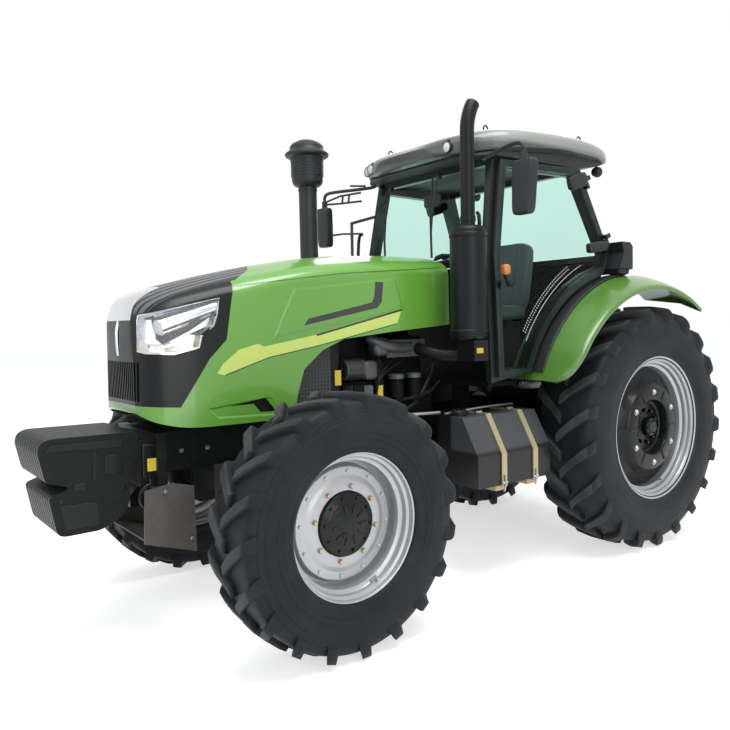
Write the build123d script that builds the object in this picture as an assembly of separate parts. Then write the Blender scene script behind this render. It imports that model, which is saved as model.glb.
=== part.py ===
from build123d import *
from math import cos, pi, radians, sin
import os

# Four-wheel-drive farm tractor with a closed cab, a one-piece tilting hood, front ballast and a rear linkage.
# Millimetres. +X is forward, +Y is the tractor's left, +Z is up. While modelling, x = 0 is the rear axle;
# save() moves every piece so that the origin is on the ground under the middle of the whole length.

# ---------------------------------------------------------------- driving sizes
WHEELBASE = 2710.0
REAR_TYRE_R, REAR_TYRE_W, REAR_RIM_R, REAR_CENTRE_Y = 865.0, 467.0, 508.0, 796.0
FRONT_TYRE_R, FRONT_TYRE_W, FRONT_RIM_R, FRONT_CENTRE_Y = 660.0, 364.0, 381.0, 915.0
REAR_LUGS, FRONT_LUGS = 21, 19          # lugs on each side of one tyre
REAR_LUG_H, FRONT_LUG_H = 43.0, 36.0
FLANGE_H = 25.0                         # rim flange above the bead seat
RIM_WALL = 14.0
FLANGE_IN = 24.0                        # rim flange inside the tyre's widest plane
SEAT_GAP = 0.3                          # between pieces that rest on each other
MOVE_GAP = 8.0                          # between pieces that move past each other

BEAD_GAP = 0.4                          # tyre bore off the bead seat
LUG_SWEEP = 7.0                         # half the turn that one lug covers, degrees
RIM_SIDES = 24
KINGPIN_Y = 770.0
HUB_R_REAR, HUB_R_FRONT = 150.0, 165.0
REAR_HUB_IN, FRONT_HUB_IN = -40.0, -75.0  # hubs' inner faces from the tyre's centre plane
TIE_X, TIE_Z = WHEELBASE - 230.0, FRONT_TYRE_R - 98.0  # tie rod behind the front axle
ENGINE_FRONT_X = 2240.0
RADIATOR_X = ENGINE_FRONT_X + 360.0
FRAME_TOP_Z = 1110.0

NOSE_X = 3475.0                         # front of the hood
HOOD_REAR_X = 1440.0
HOOD_LOW_Z = 1130.0
HOOD_WALL = 6.0
HINGE_X, HINGE_Z, HINGE_PIN_R = 1480.0, 2015.0, 10.0  # hood hinge line

WEIGHT_FRONT_X, WEIGHT_BACK_X = 3962.0, 3477.0
WEIGHT_COUNT, WEIGHT_PITCH, WEIGHT_T = 11, 44.5, 42.0

CAB_SIDE_Y, CAB_SIDE_X, CAB_SIDE_Z = 800.0, 300.0, 1283.0  # a point on the door's outer face
CAB_TAPER, CAB_LEAN = 0.08, 0.075     # inward slope per mm forward and per mm up
CAB_FLOOR_Z, CAB_FLOOR_T = 1255.7, 30.0      # top of the floor
CAB_BACK_X = 110.0
DOOR_T, GLASS_T = 28.0, 6.0
PILLAR_T = 46.0
HINGE_OUT = 22.0                        # door hinge line off the door's outer face
HINGE_STATIONS = (90.0, 520.0)          # along the hinge line
ROOF_LOW_Z = 2700.0

FENDER_R, FENDER_T = 1095.0, 8.0        # inner arc about the rear axle
FENDER_IN_Y, FENDER_MID_Y, FENDER_OUT_Y = 535.0, 800.0, 1045.0
FENDER_FROM, FENDER_TO = 21.0, 122.0    # degrees about the rear axle, 0 is forward

MUFFLER_X, MUFFLER_Y, MUFFLER_R = 1510.0, 640.0, 115.0
STACK_X, STACK_Y, STACK_R = 1925.0, -520.0, 64.0

CASE_BACK_X = -300.0
TOP_EYE_X, TOP_EYE_Z = -345.0, 900.0
PTO_Z = 700.0
SHAFT_R = 30.0
HOLE_MORE = 0.75                        # a flat-sided hole past its pin, corner to corner
DRAWBAR_BACK_X = -640.0
LINK_PIVOT = (-180.0, 560.0)            # x, z of the lower links' front pins
ARM_PIVOT = (-230.0, 1060.0)            # x, z of the lift shaft
LINK_Y = 330.0
ARM_LEN = 330.0                         # lift arm, and the lift rod's pin along the lower link
LINK_LEN = 880.0
LINK_DROOP = 4.0                        # degrees below level at rest
DRAWBAR_Z, DRAWBAR_PIN_R = 440.0, 16.5
LINK_EYE_R, TOP_EYE_R, PTO_R = 14.3, 12.9, 17.4

HITCH_REACH = 40.0                      # from a lower link's eye centre to its end
REAR_X = LINK_PIVOT[0] - LINK_LEN * cos(radians(LINK_DROOP)) - HITCH_REACH
SHIFT = (WEIGHT_FRONT_X + REAR_X) / 2   # origin's place ahead of the rear axle

nodes = {}


# ---------------------------------------------------------------- helpers
def block(x0, x1, y0, y1, z0, z1):
    """A box from its limits along each axis."""
    return Pos((x0 + x1) / 2, (y0 + y1) / 2, (z0 + z1) / 2) * Box(x1 - x0, y1 - y0, z1 - z0)


def outline(points):
    """A face in local coordinates from the corners of a closed polygon."""
    return make_face(Polyline(*points, close=True))


def side_plate(points, y0, y1):
    """An outline of (x, z) corners, extruded between two values of y."""
    return extrude(Plane.XZ.offset(-y1) * outline(points), y1 - y0)


def front_plate(points, x0, x1):
    """An outline of (y, z) corners, extruded between two values of x."""
    return extrude(Plane.YZ.offset(x0) * outline(points), x1 - x0)


def rod(start, end, radius, sides=10):
    """A bar between two points with a flat-sided round section."""
    axis = Vector(*end) - Vector(*start)
    return extrude(Plane(origin=start, z_dir=axis) * RegularPolygon(radius, sides), axis.length)


def bore(start, end, radius):
    """A true cylinder between two points, for the fits that other machines pin to."""
    axis = Vector(*end) - Vector(*start)
    return extrude(Plane(origin=start, z_dir=axis) * Circle(radius), axis.length)


def bar(start, end, width, height):
    """A rectangular bar between two points, its height kept near vertical."""
    axis = Vector(*end) - Vector(*start)
    across = Vector(0, 0, 1).cross(axis) if abs(axis.Z) < 0.95 * axis.length else Vector(0, 1, 0)
    plane = Plane(origin=start, x_dir=across, z_dir=axis)
    return extrude(plane * Rectangle(width, height), axis.length)


def prism(radius, height, sides=10):
    """A flat-sided round bar along local Z, centred."""
    return extrude(RegularPolygon(radius, sides), height / 2, both=True)


def pipe(points, radius, sides=10):
    """A pipe along straight runs with mitred bends."""
    path = Polyline(*points)
    section = Plane(origin=path @ 0, z_dir=path % 0) * RegularPolygon(radius, sides)
    return sweep(section, path=path, transition=Transition.RIGHT)


def skin(sections):
    """A solid with flat faces through closed sections of equally many points; each cell is two triangles."""
    count = len(sections[0])
    faces = [Face(Wire.make_polygon(sections[0], close=True)), Face(Wire.make_polygon(sections[-1], close=True))]
    for near, far in zip(sections, sections[1:]):
        for k in range(count):
            a, b, c, d = near[k], near[(k + 1) % count], far[(k + 1) % count], far[k]
            if abs((b - a).cross(c - a).normalized().dot(d - a)) < 1e-7:
                faces.append(Face(Wire.make_polygon([a, b, c, d], close=True)))
            elif k < count // 2:
                faces += [Face(Wire.make_polygon(corners, close=True)) for corners in ([a, b, c], [a, c, d])]
            else:
                faces += [Face(Wire.make_polygon(corners, close=True)) for corners in ([a, b, d], [b, c, d])]
    return Solid(Shell(faces))


def other_side(shape):
    """The same piece on the tractor's right."""
    return mirror(shape, about=Plane.XZ)


def add(name, *pieces):
    """Fuses the pieces into one node."""
    shape = pieces[0]
    for piece in pieces[1:]:
        shape = shape + piece
    nodes[name] = shape


def group(name, *pieces):
    """Keeps like pieces apart in one node."""
    nodes[name] = Compound([solid for piece in pieces for solid in piece.solids()])


def add_pair(name, *pieces):
    """A left-hand node and its mirror image."""
    add(name + "_left", *pieces)
    nodes[name + "_right"] = other_side(nodes[name + "_left"])


# ---------------------------------------------------------------- wheels
def faceted_ring(profile, sides):
    """A ring about Y with flat faces: each (radius, y) corner of a closed profile goes round in equal steps."""
    def corner(i, k):
        r, y = profile[k % len(profile)]
        turn = 2 * pi * (i + 0.5) / sides
        return Vector(r * cos(turn), y, r * sin(turn))

    faces = []
    for i in range(sides):
        for k in range(len(profile)):
            quad = [corner(i, k), corner(i, k + 1), corner(i + 1, k + 1), corner(i + 1, k)]
            faces.append(Face(Wire.make_polygon(quad, close=True)))
    return Solid(Shell(faces))


def faceted_disc(profile, sides):
    """A solid about Y with flat faces, from the (radius, y) corners between its two flat ends."""
    loops = []
    for r, y in profile:
        turns = [2 * pi * (i + 0.5) / sides for i in range(sides)]
        loops.append([Vector(r * cos(t), y, r * sin(t)) for t in turns])
    return skin(loops)


def tyre(radius, width, rim_r, lug_h, lugs):
    """A tyre about Y through the origin, with bars that trail back from the middle to each shoulder."""
    bead_r, crown_r = rim_r - FLANGE_H + BEAD_GAP, radius - lug_h
    half = width / 2
    wide_r = bead_r + 0.46 * (crown_r - bead_r)
    flange_y = half - FLANGE_IN - RIM_WALL - 0.5
    half_profile = [(bead_r, flange_y), (rim_r, flange_y), (wide_r, half), (crown_r, half - 12)]
    profile = [(r, -y) for r, y in half_profile] + [(r, y) for r, y in reversed(half_profile)]
    # plan of one lug: (back from the lug's middle, y); it starts past the centre line and ends at the shoulder
    reach = radius * sin(radians(LUG_SWEEP))
    thick = pi * radius / lugs * 0.33
    plan = [(reach + thick * 0.1, -12), (reach - thick, -12), (-reach - thick * 0.3, half - 16),
            (-reach + thick * 0.8, half - 16)]
    tip_z = (radius ** 2 - (reach + thick * 0.3) ** 2) ** 0.5
    root_z = crown_r - 40
    bars = []
    for side in (1, -1):
        flat = Plane(origin=(0, 0, root_z)) * outline([(x, side * y) for x, y in plan])
        lug = extrude(flat, tip_z - root_z)
        stagger = 0 if side > 0 else 0.5
        bars += [Rot(0, 360.0 / lugs * (i + stagger), 0) * lug for i in range(lugs)]
    return faceted_ring(profile, RIM_SIDES) + bars


def barrel(rim_r, half):
    """The rolled rim about Y: two flanges, bead seats and a drop centre."""
    seat_r = rim_r - FLANGE_H
    return faceted_ring([
        (rim_r, half), (rim_r - 4, half - RIM_WALL), (seat_r, half - RIM_WALL), (seat_r, RIM_WALL - half),
        (rim_r - 4, RIM_WALL - half), (rim_r, -half), (seat_r - RIM_WALL, -half), (seat_r - RIM_WALL, half),
    ], RIM_SIDES)


def make_wheels():
    """Tyres, rims, discs and hubs at all four corners."""
    rear_at, front_at = Pos(0, REAR_CENTRE_Y, REAR_TYRE_R), Pos(WHEELBASE, FRONT_CENTRE_Y, FRONT_TYRE_R)
    add_pair("rear_tyre", rear_at * tyre(REAR_TYRE_R, REAR_TYRE_W, REAR_RIM_R, REAR_LUG_H, REAR_LUGS))
    add_pair("front_tyre", front_at * tyre(FRONT_TYRE_R, FRONT_TYRE_W, FRONT_RIM_R, FRONT_LUG_H, FRONT_LUGS))
    # rear: a silver barrel bolted to a dark dished disc with the hub in its middle
    rear_half = REAR_TYRE_W / 2 - FLANGE_IN
    lug = block(388, REAR_RIM_R - FLANGE_H - 8, 112, 130 - SEAT_GAP, -38, 38)
    lugs = [Rot(0, 60 * i, 0) * lug for i in range(6)]
    add_pair("rear_rim", rear_at * barrel(REAR_RIM_R, rear_half), *[rear_at * lug for lug in lugs])
    bolt_r = REAR_RIM_R - FLANGE_H - 55
    dish = [(70, 165), (90, 140), (165, 130), (215, 90), (330, 100), (385, 146), (bolt_r, 146), (bolt_r, 130),
            (385, 130), (HUB_R_REAR, 60), (HUB_R_REAR, REAR_HUB_IN)]
    add_pair("rear_disc", rear_at * faceted_disc(dish, 20))
    # front: the disc is welded in the barrel and the black planetary hub is bolted through it
    front_half = FRONT_TYRE_W / 2 - FLANGE_IN
    hole_r = HUB_R_FRONT + SEAT_GAP
    inner_r = FRONT_RIM_R - FLANGE_H - RIM_WALL
    web = [(inner_r + 1, 58), (300, 34), (hole_r, 40), (hole_r, 26), (inner_r + 1, 42)]
    add_pair("front_rim", front_at * (barrel(FRONT_RIM_R, front_half) + faceted_ring(web, RIM_SIDES)))
    hub = [(120, 75), (150, 60), (HUB_R_FRONT, 44), (HUB_R_FRONT, FRONT_HUB_IN)]
    add_pair("front_hub", front_at * faceted_disc(hub, RIM_SIDES))


# ---------------------------------------------------------------- running gear
def make_running_gear():
    """Transmission, axles, knuckles, engine and the frame that carries the nose and the ballast."""
    rear_z, front_z, mid = REAR_TYRE_R, FRONT_TYRE_R, WHEELBASE
    case = front_plate([(-210, 560), (210, 560), (260, 700), (260, 1040), (170, 1120), (-170, 1120), (-260, 1040),
                        (-260, 700)], CASE_BACK_X, 420)
    neck = front_plate([(-200, 600), (200, 600), (230, 760), (230, 1040), (-230, 1040), (-230, 760)], 420, 1470)
    case = case - rod((ARM_PIVOT[0], -300, ARM_PIVOT[1]), (ARM_PIVOT[0], 300, ARM_PIVOT[1]), SHAFT_R + 2, 16)
    mounts = []
    for x, low in ((190, 1100), (1150, 1030)):
        for side in (1, -1):
            mounts.append(block(x - 45, x + 45, side * 190 - 40, side * 190 + 40, low,
                                CAB_FLOOR_Z - CAB_FLOOR_T - SEAT_GAP))
    pins = [rod((LINK_PIVOT[0], 250 * s, LINK_PIVOT[1]), (LINK_PIVOT[0], (LINK_Y + 30) * s, LINK_PIVOT[1]), 14)
            for s in (1, -1)]
    lugs = [block(LINK_PIVOT[0] - 45, LINK_PIVOT[0] + 45, min(s * 200, s * 300), max(s * 200, s * 300), 520, 620)
            for s in (1, -1)]
    ears = [side_plate([(CASE_BACK_X + 5, 840), (CASE_BACK_X + 5, 960), (-345, 935), (-375, 900), (-345, 865)],
                       y - 11, y + 11) for y in (40, -40)]
    hole = bore((TOP_EYE_X, -80, TOP_EYE_Z), (TOP_EYE_X, 80, TOP_EYE_Z), TOP_EYE_R)
    stub = bore((CASE_BACK_X - 5, 0, PTO_Z), (CASE_BACK_X - 80, 0, PTO_Z), PTO_R)
    hangers = [block(x - 40, x + 40, -60, 60, DRAWBAR_Z + 20 + SEAT_GAP, 570) for x in (-240, 240)]
    boss = rod((CASE_BACK_X + 5, 0, PTO_Z), (CASE_BACK_X - 5, 0, PTO_Z), 60)
    add("transmission_case", case, neck, *mounts, *pins, *lugs, *[ear - hole for ear in ears], boss, stub, *hangers)
    side_y_in, flare = 260 + SEAT_GAP, 470
    cone = faceted_disc([(190, side_y_in), (125, flare), (118, flare + 10),
                         (118, REAR_CENTRE_Y + REAR_HUB_IN - SEAT_GAP)], 16)
    housing = Pos(0, 0, rear_z) * cone
    group("rear_axle_housings", housing, other_side(housing))
    engine = block(1480, ENGINE_FRONT_X, -250, 250, 820, 1290)
    head = block(1530, ENGINE_FRONT_X - 40, -200, 200, 1290, 1560)
    cover = side_plate([(1560, 1555), (2180, 1555), (2160, 1640), (1580, 1640)], -120, 120)
    sump = side_plate([(1500, 825), (1540, 690), (2100, 690), (2200, 760), (2200, 825)], -180, 180)
    flywheel = block(1470 + SEAT_GAP, 1490, -240, 240, 700, 1150)
    add("engine_block", engine, head, cover, sump, flywheel)
    alternator = rod((2090, 277, 1370), (2230, 277, 1370), 66)
    bracket = block(2110, 2210, 200 + SEAT_GAP, 270, 1340, 1390)
    compressor = block(2050, 2210, 250 + SEAT_GAP, 350, 1120, 1270)
    manifold = side_plate([(1560, 1430), (1900, 1430), (1880, 1540), (1580, 1540)], 200 + SEAT_GAP, 300)
    cleaner = rod((1640, -60, 1770), (2120, -60, 1770), 125)
    foot = block(1850, 1910, -90, -30, 1640 + SEAT_GAP, 1660)
    group("engine_accessories", alternator + bracket, compressor, manifold, cleaner + foot)
    core = block(ENGINE_FRONT_X + 100, RADIATOR_X, -330, 330, FRAME_TOP_Z + SEAT_GAP, 1830)
    shroud = block(ENGINE_FRONT_X + 20, ENGINE_FRONT_X + 100, -290, 290, 1180, 1760)
    add("radiator", core, shroud)
    # front axle: beam, drive casing, trunnion and the fork ends that hold the kingpins
    beam_end, ear_r = KINGPIN_Y - 90, 60
    half_beam = block(mid - 60, mid + 60, 0, beam_end, front_z - 60, front_z + 60)
    swell = rod((mid, -150, front_z), (mid, 150, front_z), 140)
    trunnion = rod((mid - 205, 0, front_z), (mid + 205, 0, front_z), 40)
    ears = []
    for low in (front_z - 170, front_z + 130):
        ears.append(block(mid - ear_r, mid + ear_r, beam_end - 50, KINGPIN_Y, low, low + 40))
        ears.append(rod((mid, KINGPIN_Y, low), (mid, KINGPIN_Y, low + 40), ear_r))
    web = block(mid - ear_r, mid + ear_r, beam_end - 50, beam_end, front_z - 170, front_z + 170)
    half = half_beam + ears + web
    add("front_axle_beam", half, other_side(half), swell, trunnion)
    casing = rod((mid, KINGPIN_Y, front_z - 130 + MOVE_GAP), (mid, KINGPIN_Y, front_z + 130 - MOVE_GAP), 58)
    pin = rod((mid, KINGPIN_Y, front_z - 160), (mid, KINGPIN_Y, front_z + 160), 22, 16)
    pin_r = 22 + HOLE_MORE
    nodes["front_axle_beam"] -= [rod((mid, y, front_z - 180), (mid, y, front_z + 180), pin_r, 16)
                                 for y in (KINGPIN_Y, -KINGPIN_Y)]
    stub_end = FRONT_CENTRE_Y + FRONT_HUB_IN - SEAT_GAP
    stub = rod((mid, KINGPIN_Y + 20, front_z), (mid, stub_end, front_z), 90)
    arm = bar((mid - 30, KINGPIN_Y, TIE_Z + 40), (TIE_X - 25, KINGPIN_Y, TIE_Z + 40), 50, 30)
    tie_pin = rod((TIE_X, KINGPIN_Y, TIE_Z - 20), (TIE_X, KINGPIN_Y, TIE_Z + 30), 11)
    add_pair("front_knuckle", casing, pin, stub, arm, tie_pin)
    tie = rod((TIE_X, -KINGPIN_Y + 20, TIE_Z), (TIE_X, KINGPIN_Y - 20, TIE_Z), 15)
    eyes = [rod((TIE_X, y, TIE_Z - 15), (TIE_X, y, TIE_Z + 15), 26) for y in (KINGPIN_Y, -KINGPIN_Y)]
    holes = [rod((TIE_X, y, TIE_Z - 25), (TIE_X, y, TIE_Z + 25), 11 + HOLE_MORE) for y in (KINGPIN_Y, -KINGPIN_Y)]
    add("tie_rod", tie, *eyes)
    nodes["tie_rod"] -= holes


def make_front_frame():
    """Rails, axle bolster, nose plate and carrier, the guard plates and the hanging ballast."""
    mid, front_z = WHEELBASE, FRONT_TYRE_R
    rail = side_plate([(ENGINE_FRONT_X + SEAT_GAP, 900), (3380, 900), (3380, FRAME_TOP_Z),
                       (ENGINE_FRONT_X + SEAT_GAP, FRAME_TOP_Z)], 175, 235)
    bolster = block(mid - 190, mid + 190, -180, 180, 900, 1060)
    legs = [block(mid + s * 180 - 22, mid + s * 180 + 22, -90, 90, 590, 905) for s in (1, -1)]
    bore = rod((mid - 260, 0, front_z), (mid + 260, 0, front_z), 40 + SEAT_GAP)
    nose_plate = block(3350, 3400, -290, 290, 790, FRAME_TOP_Z)
    tray = block(3000, 3390, -240, 240, 1060, FRAME_TOP_Z)
    width = WEIGHT_PITCH * (WEIGHT_COUNT - 1) / 2 + WEIGHT_T / 2
    carrier = block(3395, WEIGHT_BACK_X - SEAT_GAP, -width, width, 840, 1080)
    tow = side_plate([(3395, 700), (3470, 700), (3470, 760), (3395, 845)], -60, 60)
    add("front_frame", rail, other_side(rail), bolster, nose_plate, tray, carrier, tow)
    nodes["front_frame"] = nodes["front_frame"] + [leg - bore for leg in legs]
    guard = side_plate([(3210, 470), (3490, 560), (3480, 830), (3330, 850), (3215, 820)], 300, 308)
    belly = bar((3225, 0, 490), (3480, 0, 572), 600, 8)
    lug = block(3345, 3395, 290 + SEAT_GAP, 304, 792, 830)
    add("front_guard", guard, other_side(guard), belly, lug, other_side(lug))
    x0, x1 = WEIGHT_BACK_X, WEIGHT_FRONT_X
    plate = [
        (x0, 1128), (x1 - 60, 1134), (x1 - 20, 1115), (x1, 1075), (x1 - 32, 925), (x1 - 150, 890),
        (x1 - 42, 850), (x1 - 75, 672), (x1 - 105, 653), (3681, 655), (3580, 700), (3530, 780), (3530, 960), (x0, 980),
    ]
    half = (WEIGHT_COUNT - 1) / 2
    group("front_weights", *[
        side_plate(plate, WEIGHT_PITCH * (i - half) - WEIGHT_T / 2, WEIGHT_PITCH * (i - half) + WEIGHT_T / 2)
        for i in range(WEIGHT_COUNT)
    ])


# ---------------------------------------------------------------- hood
# sections: x, half width at the foot, half width at the shoulder, shoulder height, crown height, foot height
HOOD_SECTIONS = [
    (HOOD_REAR_X, 400, 385, 2030, 2085, HOOD_LOW_Z),
    (1800, 402, 386, 2028, 2090, HOOD_LOW_Z),
    (2330, 400, 380, 2000, 2062, HOOD_LOW_Z),
    (2700, 397, 371, 1943, 2003, HOOD_LOW_Z),
    (3000, 390, 360, 1882, 1940, HOOD_LOW_Z),
    (3250, 372, 340, 1817, 1880, HOOD_LOW_Z),
    (3390, 335, 300, 1776, 1838, 1160),
    (3452, 285, 252, 1753, 1812, 1190),
    (NOSE_X, 215, 190, 1735, 1785, 1215),
]


def hood_section(x, foot, shoulder, shoulder_z, crown_z, foot_z, inset=0.0):
    """One upright section: straight sides, a cut shoulder and a flat crown between two slopes."""
    corner = 48
    w, z = shoulder - inset, shoulder_z - inset
    low = foot_z - (300 if inset else 0)
    half = [(foot - inset, low), (w, z - corner), (w - corner, z), (0.38 * w, crown_z - inset)]
    return [Vector(x, y, height) for y, height in half + [(-y, height) for y, height in reversed(half)]]


def make_hood():
    """The tilting hood: green shell open at the foot, dark fascia with the grille, headlamps and chrome brow."""
    outer = skin([hood_section(*row) for row in HOOD_SECTIONS])
    rows = list(HOOD_SECTIONS)
    rows[0] = (rows[0][0] - 60, *rows[0][1:])
    rows[-1] = (rows[-1][0] - 2 * HOOD_WALL, *rows[-1][1:])
    rows[-2] = (rows[-2][0] - HOOD_WALL, *rows[-2][1:])
    inner = skin([hood_section(*row, inset=HOOD_WALL) for row in rows])
    shell = outer - inner
    # the engine bay is open at the sides below this line
    bay = [(HOOD_REAR_X - 100, 1641), (1948, 1592), (2287, 1560), (2440, 1500), (2568, 1396), (2619, 1250),
           (2660, HOOD_LOW_Z - 50), (HOOD_REAR_X - 100, HOOD_LOW_Z - 50)]
    shell = shell - side_plate(bay, -500, 500)
    front = [(2935, 2000), (2990, 1800), (3030, 1580), (3130, 1480), (3290, 1240), (3600, 1262),
             (3600, 2100), (2935, 2100)]
    fascia_zone = side_plate(front, -500, 500) + block(2760, 3000, -230, 230, 1850, 2100)
    fascia = shell & fascia_zone
    slots = [block(NOSE_X - 60, NOSE_X + 20, 40 * i - 12, 40 * i + 12, 1270, 1440) for i in range(-3, 4)]
    lamp_area = side_plate([(3440, 1690), (3420, 1520), (3300, 1508), (3190, 1530), (3175, 1580), (3080, 1790)],
                           150, 400)
    lamp = lamp_area & shell
    brow = shell & block(3340, 3500, -130, 130, 1690, 1830)
    add("hood_fascia", fascia - slots - lamp - other_side(lamp) - brow)
    group("headlamps", lamp, other_side(lamp))
    add("hood_brow", brow)
    ear = block(HINGE_X - 20, HINGE_X + 20, 100, 130, HINGE_Z - 22, HINGE_Z + 67)
    ear = ear - rod((HINGE_X, 90, HINGE_Z), (HINGE_X, 140, HINGE_Z), HINGE_PIN_R + HOLE_MORE)
    add("hood_shell", shell - fascia_zone, ear, other_side(ear))


# ---------------------------------------------------------------- cab
def side_y(x, z):
    """The door's outer face on the left: y at a given x and z."""
    return CAB_SIDE_Y - CAB_TAPER * (x - CAB_SIDE_X) - CAB_LEAN * (z - CAB_SIDE_Z)


def side_panel(points, inner, outer):
    """A panel in the cab's left side plane: (x, z) corners, from inner to outer off the door's outer face."""
    normal = Vector(CAB_TAPER, 1, CAB_LEAN)
    plane = Plane(origin=(700, side_y(700, 2000), 2000), x_dir=Vector(1, -CAB_TAPER, 0), z_dir=normal)
    slab = extrude(plane.offset(inner) * Rectangle(3000, 3000), outer - inner)
    return slab & side_plate(points, 300, 1000)


def arc_points(radius, start, end, count):
    """Points (x, z) on an arc about the rear axle."""
    step = (end - start) / (count - 1)
    turns = [radians(start + step * i) for i in range(count)]
    return [(radius * cos(t), REAR_TYRE_R + radius * sin(t)) for t in turns]


def door_outline(grow=0.0):
    """The door's corners (x, z), grown outwards for the opening that it sits in."""
    arc = arc_points(FENDER_R + 42 - grow, 23.5, 76, 7)
    return [(1325 + grow, 1290 - grow), (1300 + grow, 2060), (1195 + grow, 2685 + grow), (452 - grow, 2685 + grow),
            (205 - grow, 2110)] + list(reversed(arc))


def hinge_frame():
    """The left door's hinge line: a plane whose x runs forward along the door, y outwards and z up the line."""
    low, high = [Vector(x, side_y(x, z), z) for x, z in ((205, 2110), (452, 2685))]
    up = (high - low).normalized()
    out = Vector(CAB_TAPER, 1, CAB_LEAN).normalized()
    ahead = out.cross(up)
    return Plane(origin=low + ahead * 6 + out * HINGE_OUT, x_dir=ahead, z_dir=up)


def make_cab_frame():
    """Pillars and rails as a welded ring each side, joined by cross rails and the hood's hinge bracket."""
    ring_in, ring_out = -DOOR_T - MOVE_GAP - PILLAR_T, -DOOR_T - MOVE_GAP
    ring = side_panel(door_outline(34), ring_in, ring_out) - side_panel(door_outline(-50), -200, 20)
    ring = ring & block(0, 1500, 300, 1000, 1200, ROOF_LOW_Z)
    frame = hinge_frame()
    for s in HINGE_STATIONS:
        pin = frame * Pos(0, 0, s + 10) * prism(6, 70, 8)
        arm = frame * Pos(-14, 4, s + 34) * Box(40, 26, 32)
        root = frame * Pos(-25, (ring_out - HINGE_OUT) / 2, s + 34) * Box(18, HINGE_OUT - ring_out + 10, 32)
        ring = ring + pin + arm + root
    top_y = side_y(1195, 2685) - 50
    rails = [block(x - 25, x + 25, -top_y, top_y, 2660, ROOF_LOW_Z) for x in (1190, 470)]
    cowl_y = side_y(1300, 2030) + ring_in + 10
    cowl = block(1265, 1325, -cowl_y, cowl_y, 2012, 2055)
    back_y = side_y(200, 2040) + ring_in + 10
    sill = block(190, 240, -back_y, back_y, 2060, 2100)
    bracket = block(1300, HINGE_X + 15, -92, 92, HINGE_Z - 30, HINGE_Z - 2)
    riser = block(1275, 1320, -92, 92, HINGE_Z - 30, 2050)
    pin = rod((HINGE_X, -135, HINGE_Z), (HINGE_X, 135, HINGE_Z), HINGE_PIN_R)
    rail = pipe([(1320, -604, 2130), (1400, -720, 2150), (1400, -720, 2420), (1245, -582, 2470)], 12, 8)
    add("cab_frame", ring, other_side(ring), *rails, cowl, sill, bracket, riser, pin, rail)


def make_doors():
    """Rear-hinged doors: a dark frame with a full pane bonded on its outer face."""
    frame = hinge_frame()
    door = side_panel(door_outline(), -DOOR_T, 0) - side_panel(door_outline(-46), -200, 20)
    for s in HINGE_STATIONS:
        barrel_tube = frame * Pos(0, 0, s - 10) * (prism(12, 50, 8) - prism(6 + HOLE_MORE, 60, 8))
        leaf = frame * Pos(0, -HINGE_OUT / 2 - 9, s - 10) * Box(11, HINGE_OUT, 50)
        leaf = leaf - frame * Pos(0, 0, s - 10) * prism(6 + HOLE_MORE, 60, 8)
        door = door + barrel_tube + leaf
    add_pair("door", door)
    add_pair("door_glass", side_panel(door_outline(-14), SEAT_GAP, SEAT_GAP + GLASS_T))


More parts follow.
